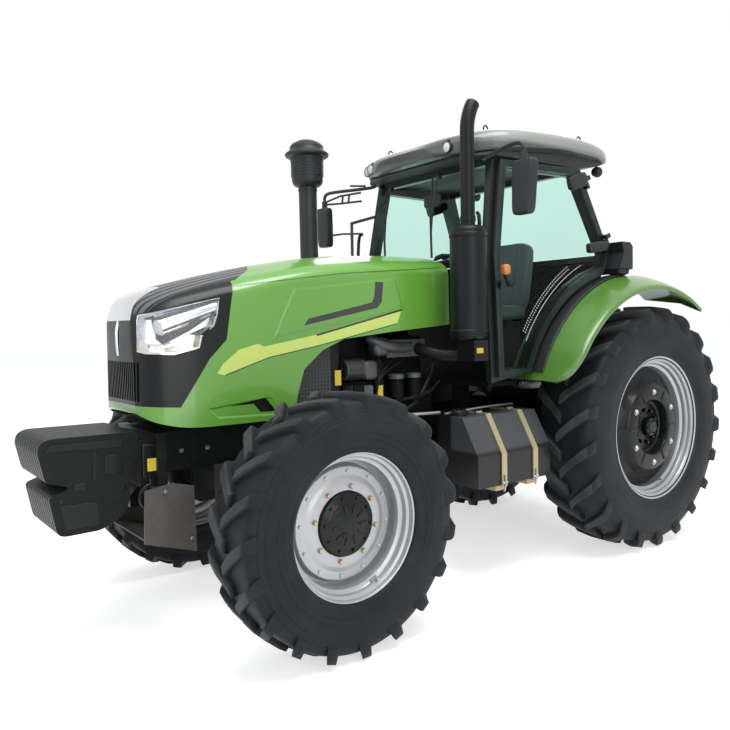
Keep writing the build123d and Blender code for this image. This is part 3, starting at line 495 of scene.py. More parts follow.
def hood_paint(name, paint, base):
    """Hood finish: clear-coated colour, side stripes, a seam along the shoulder and pressed panels."""
    made = Finish(name, Coat_Weight=0.6, Coat_Roughness=0.07)
    cloud, speck = made.noise(1.7, 3), made.noise(55.0, 2)
    side = abs(made.y).above(0.25, 0.004)
    tone = made.mix(cloud, rgba(base, 0.88), rgba(base, 1.12))
    swoosh = made.patches(
        [(1842, 1731), (1886, 1642), (2460, 1527), (2477, 1590)],
        [(2477, 1590), (2460, 1527), (2787, 1473), (2814, 1534)],
        [(2814, 1534), (2787, 1473), (3049, 1390), (3093, 1403), (3058, 1451), (2964, 1523), (2850, 1551)])
    edge = made.patches(
        [(1842, 1733), (1846, 1721), (2477, 1581), (2477, 1592)],
        [(1886, 1646), (1886, 1640), (2460, 1525), (2460, 1531)],
        [(2460, 1531), (2460, 1525), (2787, 1471), (2787, 1477)],
        [(2787, 1477), (2787, 1471), (3049, 1388), (3049, 1395)])
    hook = made.patches(
        [(2559, 1643), (2527, 1682), (2078, 1773), (2034, 1741)],
        [(2078, 1773), (2055, 1809), (1995, 1830), (1999, 1780), (2034, 1741)],
        [(2057, 1800), (2045, 1898), (1983, 1896), (1998, 1790)])
    tone = made.mix(swoosh * side, tone, rgba(paint.stripe))
    tone = made.mix(made.any_of(edge * side, hook * side), tone, (0.012, 0.014, 0.014, 1))
    panel = made.inside([(2745, 1586), (2614, 1844), (1891, 1919), (1834, 1728)], 0.014)
    apron = made.inside([(3148, 1222), (3095, 1172), (2742, 1162), (2790, 1262), (3040, 1232)], 0.010)
    crease = made.patches(
        [(2970, 1864), (2294, 1943), (2294, 1938), (2970, 1859)],
        [(2294, 1943), (1500, 2000), (1500, 1995), (2294, 1938)], soft=0.003)
    made.surface(made.mix(crease * side * 0.8, tone, rgba(base, 0.15)), speck * 0.03 + cloud * 0.06 + 0.26,
                 (panel * 0.004 - apron * 0.005 - crease * 0.004 + hook * 0.001) * side + made.noise(2.2, 1) * 0.0009)


def fascia_moulding(name, base):
    """Dark fascia: satin sides, and fine ribs that run along the panel between the shoulders."""
    made = Finish(name, Coat_Weight=0.08, Coat_Roughness=0.12, Specular_IOR_Level=0.22)
    cloud, speck = made.noise(2.6, 3), made.noise(70.0, 3)
    top = (1 - abs(made.y).above(0.268, 0.008)) * made.z.above(1.72, 0.02)
    ribs = made.saw(made.y + 0.5, 0.019).above(0.35, 0.3)
    made.surface(made.mix(top, rgba(base, 0.8), made.mix(ribs, (0.010, 0.011, 0.013, 1), (0.115, 0.12, 0.13, 1))),
                 speck * 0.10 + cloud * 0.04 + top * 0.10 + 0.22, ribs * top * 0.004 + speck * 0.0001)


def roof_moulding_with_painted_shade(name, base):
    """Roof: pale grey-green crown, with painted shade darkening the visor round the front and the underside."""
    made = Finish(name, Coat_Weight=0.3, Coat_Roughness=0.15)
    cloud, speck = made.noise(1.6, 3), made.noise(18.0, 3)
    # painted shade: the front visor and the underside of the roof turn dark grey-green, standing for the shade they lie
    # in
    dark = made.any_of(made.x.above(AXLE_X + 1.30, 0.22), 1 - made.z.above(2.79, 0.03))
    tone = made.mix(cloud, rgba(base, 0.85), rgba(base, 1.15))
    made.surface(made.mix(dark * 0.86, tone, (0.030, 0.036, 0.035, 1)), speck * 0.1 + dark * 0.1 + 0.28, speck * 0.0002)


def tank_with_painted_light(name):
    """Tank: nearly black below the fold, with painted light turning the slanted faces above it a satin grey."""
    made = Finish(name, Coat_Weight=0.15, Coat_Roughness=0.15, Specular_IOR_Level=0.25)
    cloud = made.noise(3.0, 3)
    # painted light: the slanted top faces are painted a lighter grey, as where light falls on them
    painted_lit_top = made.z.above(0.855, 0.02) * abs(made.y).above(0.60, 0.02)
    tone = made.mix(painted_lit_top, (0.008, 0.0085, 0.009, 1), (0.055, 0.062, 0.068, 1))
    made.surface(made.mix(cloud * 0.3, tone, (0.012, 0.013, 0.014, 1)), cloud * 0.12 + 0.28)


def lamp_dish_with_painted_reflection(name):
    """Headlamp dish: painted reflection, grey above the projector and warm below it, and painted shadow under and
    around the barrel.
    """
    made = Finish(name, Metallic=0.8)
    cloud = made.noise(14.0, 2)
    # painted reflection: the chrome dish is coloured warm beige below the projector and grey above it, for what it
    # reflects
    below = made.inside([(3540, 1480), (3540, 1600), (3330, 1622), (3060, 1722), (3040, 1480)], 0.012)
    # painted shadow under and around the projector barrel
    shade = made.any_of(
        made.inside([(3365, 1650), (3080, 1745), (3080, 1706), (3190, 1632), (3330, 1560), (3365, 1590)], 0.005),
        made.inside([(3205, 1612), (3180, 1622), (3110, 1650), (3140, 1600)], 0.004),
        made.inside([(3420, 1690), (3420, 1700), (3370, 1712), (3360, 1690)], 0.004),
        made.inside([(3320, 1722), (3320, 1727), (3060, 1790), (3060, 1785)], 0.002))
    tone = made.mix(below, (0.44, 0.47, 0.51, 1), (0.62, 0.56, 0.49, 1))
    tone = made.mix(cloud.above(0.52, 0.12) * 0.45, tone, (0.78, 0.78, 0.78, 1))
    made.surface(made.mix(shade, tone, (0.006, 0.008, 0.009, 1)), cloud * 0.1 + shade * 0.3 + 0.10)


def tyre_rubber(name):
    """Rubber: dusty tread, cleaner flanks, and rings pressed in the flanks about each axle."""
    made = Finish(name, Specular_IOR_Level=0.16)
    cloud, speck = made.noise(5.0, 5), made.noise(90.0, 3)
    across = abs(made.x - REAR_AXLE[0])
    over = made.math("MINIMUM", across, abs(made.x - FRONT_AXLE[0]))
    rear = (abs(made.x - FRONT_AXLE[0]) - across).above(0, 0.001)
    axle_z = rear * REAR_AXLE[2] + (1 - rear) * FRONT_AXLE[2]
    height = made.z - axle_z
    out = made.math("SQRT", over * over + height * height)
    scaled = out / axle_z
    worn = scaled.above(0.975, 0.02)
    dust = (cloud * 1.5 - 0.45).above(0.25, 0.8) * (0.16 + worn * 0.75)
    tone = made.mix(cloud, (0.005, 0.007, 0.009, 1), (0.012, 0.015, 0.018, 1))
    rings = made.any_of(*[scaled.near(ring, 0.004) for ring in (0.655, 0.705, 0.80, 0.86)])
    radial = made.saw(made.math("ARCTAN2", height, over), 0.012)
    knurl = radial.above(0.5, 0.4) * scaled.near(0.83, 0.018)
    made.surface(made.mix(dust, tone, (0.075, 0.078, 0.080, 1)), speck * 0.14 + dust * 0.2 + 0.46,
                 (rings * 0.003 + knurl * 0.0012) * (1 - scaled.above(0.9, 0.02)) + cloud * 0.0012 + speck * 0.0005)


def simple_finishes(paint):
    """Panes, chrome, lenses, seat cloth and the radiator's mesh."""
    pane = Finish("cab_pane", Transmission_Weight=1.0, IOR=1.12)
    # painted shade: the panes are tinted 7% darker towards the bottom, where the view through them is darker
    pane.surface(pane.mix(pane.z.above(1.9, 1.6), rgba(paint.glass, 0.93), rgba(paint.glass)), pane.noise(3.0) * 0.02)
    chrome = Finish("chrome_trim", Metallic=1.0)
    chrome.surface(chrome.mix(chrome.noise(4.0), (0.62, 0.64, 0.67, 1), (0.82, 0.83, 0.85, 1)),
                   chrome.noise(40.0) * 0.10 + 0.05)
    for name, colour, alpha in (("clear_lens", (0.80, 0.84, 0.88), 0.09), ("red_lens", (0.55, 0.02, 0.015), 1.0),
                                ("amber_lens", (0.62, 0.20, 0.02), 1.0), ("lamp_white", (0.78, 0.80, 0.82), 1.0)):
        lens = Finish(name, Alpha=alpha, Coat_Weight=0.6)
        flute = lens.saw(lens.y + lens.z + 4, 0.006)
        lens.surface(lens.mix(flute, rgba(colour, 0.8), rgba(colour)), lens.noise(30.0) * 0.05 + 0.06, flute * 0.0006)
    cloth = Finish("seat_cloth", Sheen_Weight=0.3)
    weave = (cloth.saw(cloth.x + cloth.z + 5, 0.004) + cloth.saw(cloth.y + 5, 0.004)) * 0.5
    cloth.surface(cloth.mix(weave, (0.10, 0.105, 0.115, 1), (0.19, 0.195, 0.21, 1)), cloth.noise(60.0) * 0.1 + 0.8,
                  weave * 0.0006)
    screen = Finish("screen_mesh")
    holes = screen.saw(screen.x + 5, 0.011)
    holes = (holes - 0.5).above(0, 0.3) * (screen.saw(screen.z + 5, 0.011) - 0.5).above(0, 0.3)
    screen.surface(screen.mix(holes, (0.006, 0.007, 0.008, 1), (0.05, 0.055, 0.06, 1)), holes * 0.2 + 0.4,
                   holes * 0.002)


class TRACTOR_OT_finishes(bpy.types.Operator):
    """Mixes every material, and dresses the CAD nodes that stay in view."""

    bl_idname = "tractor.finishes"
    bl_label = "Finishes"

    def execute(self, context):
        paint = context.scene.tractor_paint
        hood_paint("green", paint, paint.body)
        fascia_moulding("fascia", paint.dark)
        tyre_rubber("rubber")
        simple_finishes(paint)
        # painted shade: the fenders carry the body green darkened to 0.62, a shaded copy of the hood's paint
        green = [c * 0.62 for c in paint.body]
        weathered("fender_green_painted_shade", green, 0.30, 0.0001, 3, 0.05, Coat_Weight=0.5, Coat_Roughness=0.08)
        weathered("black_metal", (0.0045, 0.0058, 0.007), 0.36, 0.0003, 120, 0.05, Specular_IOR_Level=0.18)
        weathered("gloss_black", (0.003, 0.004, 0.005), 0.28, 0.0001, 9, 0.02, Specular_IOR_Level=0.2,
                  Coat_Weight=0.10, Coat_Roughness=0.1)
        # painted shade: a darker black for the castings, the engine bay and the cab floor, deep in and under the
        # tractor where shade falls
        weathered("deep_black_painted_shade", (0.0018, 0.0025, 0.0034), 0.5, 0.0006, 60, 0.03, Specular_IOR_Level=0.08)
        weathered("frame_black", (0.012, 0.015, 0.016), 0.30, 0.0002, 160, 0.04, Specular_IOR_Level=0.4)
        weathered("plastic_black", (0.014, 0.018, 0.020), 0.44, 0.0003, 200, 0.05, Specular_IOR_Level=0.3)
        weathered("dark_casting", (0.004, 0.0055, 0.007), 0.50, 0.0012, 55, 0.06, Specular_IOR_Level=0.12)
        weathered("grey_casting", (0.065, 0.072, 0.078), 0.42, 0.0012, 70, 0.2, Metallic=0.5)
        weathered("silver", paint.rim, 0.34, 0.0002, 24, 0.10, Metallic=0.55, Coat_Weight=0.2)
        weathered("ballast", (0.0045, 0.0065, 0.007), 0.42, 0.0008, 38, 0.03, Specular_IOR_Level=0.16)
        weathered("guard_grey", (0.060, 0.056, 0.050), 0.5, 0.0005, 50, 0.15)
        weathered("brass", (0.46, 0.38, 0.24), 0.36, 0.0003, 60, 0.1, Metallic=0.6)
        weathered("yellow_tag", (0.62, 0.46, 0.03), 0.45, 0.0002, 80, 0.1)
        weathered("cabin_trim", (0.030, 0.034, 0.035), 0.6, 0.0006, 200, 0.05)
        weathered("zinc", (0.46, 0.47, 0.48), 0.34, 0.0003, 90, 0.1, Metallic=0.9)
        # tank with painted light on its slanted top faces
        tank_with_painted_light("tank_grey")
        # roof moulding with painted shade on its visor and underside
        roof_moulding_with_painted_shade("roof", paint.roof)
        # headlamp dish with painted reflection and painted shadow
        lamp_dish_with_painted_reflection("lamp_dish")
        kept = {
            # painted shade: the deep parts get the darker black
            "deep_black_painted_shade": ["transmission_case", "rear_axle_housings", "engine_block", "cab_floor"],
            "dark_casting": ["front_axle_beam", "front_knuckle_left", "front_knuckle_right"],
            "grey_casting": ["engine_accessories"],
            "black_metal": ["tie_rod", "front_frame", "lower_link_left", "lower_link_right", "lift_arms",
                            "lift_rod_left", "lift_rod_right", "drawbar", "radiator"],
            "plastic_black": ["battery_box"],
            "cabin_trim": ["cab_controls", "roof_lining"],
            "frame_black": ["cab_frame", "door_left", "door_right"],
            "guard_grey": ["front_guard"],
            "cab_pane": ["door_glass_left", "door_glass_right", "cab_glass"],
            "tank_grey": ["fuel_tank"],
            "brass": ["tank_straps"],
        }
        for name, nodes in kept.items():
            dress(name, *nodes)
        return {"FINISHED"}


# ---------------------------------------------------------------- wheels
def casing(radius, half, bead, lug_height):
    """A closed tyre section as (radius, across) pairs: bead, bulging flank, shoulder and a slightly round crown."""
    top = radius - lug_height
    rise = top - bead
    flank = [(bead, 0.80), (bead + 0.02 * rise, 0.87), (bead + 0.10 * rise, 0.905), (bead + 0.13 * rise, 0.90),
             (bead + 0.30 * rise, 0.965), (bead + 0.52 * rise, 0.985), (bead + 0.72 * rise, 0.96),
             (bead + 0.88 * rise, 0.90), (bead + 0.955 * rise, 0.83), (bead + 0.985 * rise, 0.70),
             (top, 0.35), (top + 0.002, 0.0)]
    side = rounded([(r, a * half) for r, a in flank], 1)
    return np.concatenate([side, side[::-1][1:] * (1, -1)])


def tread(radius, half, lugs, lug_height, share, side, start):
    """Chevron bars: each runs from past the middle to low on the shoulder, on a centre line that trails back.

    Along a bar the turn falls as 1.15 s - 0.25 s squared, the across place and both radii follow the casing, and
    the section is a flat top with drafted sides; every bar is the same grid turned about the axle."""
    s = np.linspace(0, 1, 15)
    across = np.interp(s, [0, 0.12, 0.55, 0.8, 0.92, 1], [-0.05, 0.08, 0.62, 0.90, 0.985, 0.97]) * half
    crown = radius - lug_height * np.interp(s, [0, 0.5, 0.8, 0.92, 1], [0.0, 0.04, 0.30, 1.15, 2.5])
    foot = radius - lug_height * np.interp(s, [0, 0.5, 0.8, 0.92, 1], [1.08, 1.12, 1.55, 2.3, 3.1])
    foot_across = across * np.interp(s, [0, 0.6, 0.85, 1], [1, 0.985, 0.94, 0.955])
    pitch = 2 * np.pi / lugs
    middle_turn = -math.radians(15.5) * (1.15 * s - 0.25 * s ** 2)
    top_half = 0.5 * share * pitch * np.interp(s, [0, 0.2, 0.8, 1], [0.62, 0.60, 0.72, 0.85])
    offsets = np.array([-1.42, -1.12, -1.0, 1.0, 1.12, 1.42])
    lift = np.array([0.0, 0.86, 1.0, 1.0, 0.86, 0.0])
    turn = middle_turn[:, None] + top_half[:, None] * offsets
    r = foot[:, None] + (crown - foot)[:, None] * lift
    y = foot_across[:, None] + (across - foot_across)[:, None] * lift
    bar = np.stack([turn, r, y], -1)
    ends = np.repeat(bar[[0, -1]].mean(1, keepdims=True), bar.shape[1], 1)
    ends[..., 1] = r[[0, -1], :1] + lug_height * 0.2
    bar = np.concatenate([ends[:1], bar, ends[1:]])
    rows, columns, _ = bar.shape
    angle = start + np.arange(lugs)[:, None, None] * pitch + bar[None, :, :, 0]
    points = np.stack([bar[..., 1] * np.sin(angle), side * bar[..., 2] + 0 * angle, bar[..., 1] * np.cos(angle)], -1)
    firsts = rows * columns * np.arange(lugs)[:, None, None]
    return shape(points, (grid(rows, columns, False, True)[None] + firsts).reshape(-1, 4))


def studs(at, side, count, radius, out, size, height, start=0.0):
    """A ring of bolt heads on a wheel's outer face."""
    return bolts(ring_of(count, radius, at + (0, side * out, 0), start), (0, side, 0), size, height)


def wheel_dish(profile, centre, side, segments=96):
    """A closed (radius, outwards) profile carried round the axle, facing out on its own side."""
    profile = np.asarray(profile, float) / 1000
    return revolved(profile * (1, side), centre, "y", segments, closed=True)


class TRACTOR_OT_tyres(bpy.types.Operator):
    """Round casings with chevron bars for all four wheels."""

    bl_idname = "tractor.tyres"
    bl_label = "Tyres"

    def execute(self, context):
        wheels = context.scene.tractor_wheels
        for end, lugs, height in (("rear", wheels.rear_lugs, wheels.lug_height),
                                  ("front", wheels.front_lugs, wheels.lug_height * FRONT_LUG_SHARE)):
            for word in ("left", "right"):
                node = f"{end}_tyre_{word}"
                low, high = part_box(node)
                centre, half = middle(node), (high[1] - low[1]) / 2
                centre[2] = TYRE_RADIUS[end]
                radius = TYRE_RADIUS[end] - 0.001
                body = revolved(casing(radius, half, BEAD_RADIUS[end], height), (0, 0, 0), "y", 168, closed=True)
                pitch = 2 * math.pi / lugs
                bars = [tread(radius, half, lugs, height, wheels.lug_share, s, pitch * (0.25 if s > 0 else 0.75))
                        for s in (1, -1)]
                points, faces = joined(body, *bars)
                piece(f"{end}_tyre_casing_{word}", (points + centre, faces), "rubber", body=f"{end}_wheel_{word}",
                      replaces=(node,), smooth=38)
        return {"FINISHED"}


class TRACTOR_OT_rims(bpy.types.Operator):
    """Rolled rims, dished discs, hubs and their bolts."""

    bl_idname = "tractor.rims"
    bl_label = "Rims"

    def execute(self, context):
        for side, word in SIDES:
            for end, wheel in (("rear", self.rear_wheel), ("front", self.front_wheel)):
                at = middle(f"{end}_tyre_{word}")
                at[2] = TYRE_RADIUS[end]
                wheel(at, side, word)
        return {"FINISHED"}

    def barrel(self, rim, half, seat_drop=25.0):
        """Rim section: a rolled lip, two ridges on the way down to the drop centre, and the inner line behind it."""
        seat = rim - seat_drop
        outer = [(rim - 4, half - 13), (rim + 1, half - 8), (rim + 1, half - 2), (rim - 5, half), (rim - 11, half - 4),
                 (seat + 2, half - 15), (seat - 8, half - 19), (seat - 11, half - 24), (seat - 11, half - 46),
                 (seat - 16, half - 50), (seat - 26, half - 53), (seat - 29, half - 60), (seat - 29, half - 80),
                 (seat - 34, half - 86), (seat - 48, half - 92), (seat - 52, half - 112)]
        across = [(seat - 52, 112 - half)] + [(r, -y) for r, y in reversed(outer[:-1])]
        back = [(seat, 13 - half), (seat - 5, 78 - half), (seat - 40, 108 - half), (seat - 40, half - 108),
                (seat - 20, half - 78), (seat, half - 13)]
        return outer + across + back

    def rear_wheel(self, at, side, word):
        """Rim, and a drum-shaped disc with a flat bolted ring and a sunk hub."""
        body = f"rear_wheel_{word}"
        rim = wheel_dish(self.barrel(508, 209.5), at, side, 144)
        valve = moved(tube([(0, 0.110, 0.445), (0, 0.135, 0.430), (0, 0.155, 0.425)], 0.007, 8), (0, 200, 0))
        lug = moved(slab([(-0.030, 0.410), (0.030, 0.410), (0.030, 0.445), (-0.030, 0.445)], 0.058, 0.085), (0, 245, 0))
        extra = put(joined(valve, lug), at, side)
        piece(f"rear_rim_shell_{word}", joined(rim, extra), "silver", body=body, replaces=(f"rear_rim_{word}",),
              smooth=32)
        disc = [(0, 166), (34, 166), (40, 158), (62, 154), (66, 112), (80, 104), (150, 100), (176, 100), (186, 108),
                (192, 150), (198, 166), (206, 172), (290, 173), (300, 168), (308, 158), (334, 118), (346, 108),
                (372, 92), (404, 74), (434, 70), (436, 66), (436, 58), (400, 58), (360, 76), (318, 110), (292, 150),
                (214, 152), (204, 60), (150, 50), (150, -40), (0, -40)]
        dish = wheel_dish(disc, at, side, 120)
        rib = slab([(-0.006, 0.205), (0.006, 0.205), (0.008, 0.285), (-0.008, 0.285)], 0.170, 0.177)
        ribs = put(joined(*[moved(rib, (0, 60 * turn + 30, 0)) for turn in range(6)]), at, side)
        heads = studs(at, side, 10, 0.118, 0.101, 0.014, 0.022, 0.2)
        cap = studs(at, side, 6, 0.050, 0.155, 0.007, 0.009)
        piece(f"rear_wheel_disc_{word}", joined(dish, ribs, heads, cap), "gloss_black", body=body,
              replaces=(f"rear_disc_{word}",), smooth=30)
        spots = ring_of(6, 0.252, at + (0, side * 0.1725, 0), 0.52)
        washer = revolved([(0, 0), (0.021, 0), (0.021, side * 0.003), (0, side * 0.003)], (0, 0, 0), "y", 20)
        washers = [(washer[0] + spot, washer[1]) for spot in spots]
        piece(f"rear_disc_studs_{word}", joined(bolts(spots, (0, side, 0), 0.015, 0.014), *washers), "zinc",
              body=body, smooth=30)

    def front_wheel(self, at, side, word):
        """Rim with its bolted web, the black cover of the reduction hub, and the brass wheel nuts."""
        body = f"front_wheel_{word}"
        rim = wheel_dish(self.barrel(393, 158), at, side, 128)
        web = [(318, -14), (300, -12), (291, -4), (288, 22), (282, 30), (274, 32), (246, 31), (236, 33), (222, 41),
               (208, 44), (166, 45), (166, 32), (206, 30), (232, 20), (272, 18), (276, -16), (296, -26), (318, -26)]
        web = wheel_dish(web, at, side, 112)
        heads = studs(at, side, 12, 0.262, 0.031, 0.010, 0.009, 0.1)
        valve = moved(tube([(0, 0.085, 0.345), (0, 0.105, 0.328), (0, 0.125, 0.322)], 0.006, 8), (0, 205, 0))
        boot = moved(slab([(-0.018, 0.325), (0.018, 0.325), (0.022, 0.350), (-0.022, 0.350)], 0.066, 0.092),
                     (0, 205, 0))
        extra = put(joined(valve, boot), at, side)
        piece(f"front_rim_shell_{word}", joined(rim, web, heads, extra), "silver", body=body,
              replaces=(f"front_rim_{word}",), smooth=32)
        hub = [(0, 83), (92, 83), (104, 79), (112, 75), (118, 75), (124, 71), (146, 64), (156, 60), (163, 52),
               (165, 44), (165, -75), (0, -75)]
        hub = wheel_dish(hub, at, side, 96)
        rim_bolts = studs(at, side, 10, 0.138, 0.065, 0.009, 0.010, 0.1)
        plug = bolts([at + (0.035, side * 0.083, -0.045)], (0, side, 0), 0.013, 0.009)
        rib = slab([(-0.005, 0.060), (0.005, 0.060), (0.006, 0.102), (-0.006, 0.102)], 0.080, 0.087)
        ribs = put(joined(*[moved(rib, (0, 36 * turn + 18, 0)) for turn in range(10)]), at, side)
        piece(f"front_hub_cover_{word}", joined(hub, rim_bolts, plug, ribs), "gloss_black", body=body,
              replaces=(f"front_hub_{word}",), smooth=30)
        nuts = studs(at, side, 8, 0.187, 0.0440, 0.014, 0.016, 0.2)
        piece(f"front_wheel_nuts_{word}", nuts, "brass", body=body, smooth=30)


# ---------------------------------------------------------------- hood
# rear-axle x, half width at the foot, half width and height of the shoulder, crown height, foot height
HOOD_STATIONS = np.array([
    (1440, 400, 385, 2030, 2085, 1130), (1800, 402, 386, 2028, 2090, 1130), (2330, 400, 380, 2000, 2062, 1130),
    (2700, 397, 371, 1943, 2003, 1130), (3000, 390, 360, 1882, 1940, 1130), (3250, 372, 340, 1817, 1880, 1130),
    (3390, 335, 300, 1776, 1838, 1160), (3452, 285, 252, 1753, 1812, 1190), (3475, 215, 190, 1735, 1785, 1215)],
    float)
LAMP_OUTLINE = [(3520, 1702), (3520, 1552), (3440, 1517), (3311, 1509), (3179, 1540), (3163, 1598), (3094, 1653),
                (3072, 1715), (3058, 1801)]


def hood_block(inset=0.0, lower=0.0, longer=0.0):
    """A closed block inside the hood's outer face: each station is a rounded arch of straight sides, a cut
    shoulder and a low crown, and the stations follow one another on rounded lines; the ends draw in to a point."""
    rows = rounded(HOOD_STATIONS, 2)
    x = rows[:, 0] - inset * np.clip((rows[:, 0] - 2900) / 400, 0, 1) * 1.3
    x[0] -= longer
    foot, wide = rows[:, 1] - inset, rows[:, 2] - inset
    shoulder, crown, low = rows[:, 3] - inset, rows[:, 4] - inset, rows[:, 5] - lower
    slope = (foot - wide) / (shoulder - 48 - low)
    near = wide + slope * 60
    half = [(foot, low), (near, shoulder - 108), (wide, shoulder - 48), (wide - 48, shoulder),
            (wide - 110, shoulder + 62 * (crown - shoulder) / (0.62 * wide - 48)), (0.38 * wide, crown - 3),
            (0.12 * wide, crown)]
    half = np.stack([np.stack(pair, -1) for pair in half], 1)
    arch = np.concatenate([half, half[:, ::-1] * (-1, 1)], 1)
    arch = np.moveaxis(rounded(np.moveaxis(arch, 1, 0), 2), 0, 1)
    points = np.concatenate([np.broadcast_to(x[:, None, None], arch.shape[:2] + (1,)), arch], -1)
    last = points[-1]
    centre = np.array([last[0, 0], 0, (last[:, 2].min() + last[:, 2].max()) / 2])
    nose = [centre + (last - centre) * k + (8 * (1 - k), 0, 0) for k in (0.8, 0.4, 0.0)]
    first = points[0]
    tail = np.repeat(first.mean(0)[None], len(first), 0)
    points = np.concatenate([tail[None], points, np.array(nose)])
    return shape(place(points), grid(len(points), points.shape[1], False, True))


def side_prism(corners, y0=-0.6, y1=0.6):
    """An outline in the side view carried across the tractor."""
    flat = place([(x, 0, z) for x, z in corners])[:, [0, 2]]
    return slab(flat, y0, y1, "y")


def side_plate(x0, x1, z0, z1, y0, y1):
    """A rectangle in the side view carried across."""
    return side_prism([(x0, z0), (x1, z0), (x1, z1), (x0, z1)], y0, y1)


def plan_prism(corners, low, high, rounds=0):
    """An outline seen from above carried between two heights."""
    return slab(place([(x, y, 0) for x, y in corners])[:, :2], low, high, "z", rounds)


def shrunk(corners, by):
    """A convex-like outline drawn in by a distance along the mean of its neighbouring edges' normals."""
    p = np.asarray(corners, float)
    ahead = np.roll(p, -1, 0) - p
    ahead /= np.linalg.norm(ahead, axis=1, keepdims=True)
    area = 0.5 * (p[:, 0] * np.roll(p[:, 1], -1) - p[:, 1] * np.roll(p[:, 0], -1)).sum()
    normal = np.stack([-ahead[:, 1], ahead[:, 0]], -1) * np.sign(area)
    return (p + by * (normal + np.roll(normal, 1, 0)) / 1.6).tolist()


def loose(item):
    """A plain object that only serves as a cutter."""
    return solid("cutter", item, merge_slivers=False)


def cut(obj, *steps):
    """Exact booleans one after another: each step is an operation and a shape or a cutter object."""
    for operation, other in steps:
        tool = other if isinstance(other, bpy.types.Object) else loose(other)
        change = obj.modifiers.new("cut", "BOOLEAN")
        change.object, change.operation, change.solver = tool, operation, "EXACT"
        bpy.context.view_layer.update()
        made = bpy.data.meshes.new_from_object(obj.evaluated_get(bpy.context.evaluated_depsgraph_get()))
        obj.modifiers.clear()
        obj.data = made
        if tool is not other:
            bpy.data.objects.remove(tool)
    return obj


def copy_of(obj):
    """A second cutter of the same shape."""
    return placed("cutter", obj.data.copy())


def outwards(corners, start, depth):
    """The same outline carried outwards on both sides, from a distance off the centre plane."""
    return [side_prism(corners, side * start, side * (start + depth)) for side, _ in SIDES]


def minus(*items):
    """Steps that cut several shapes away."""
    return [("DIFFERENCE", item) for item in items]


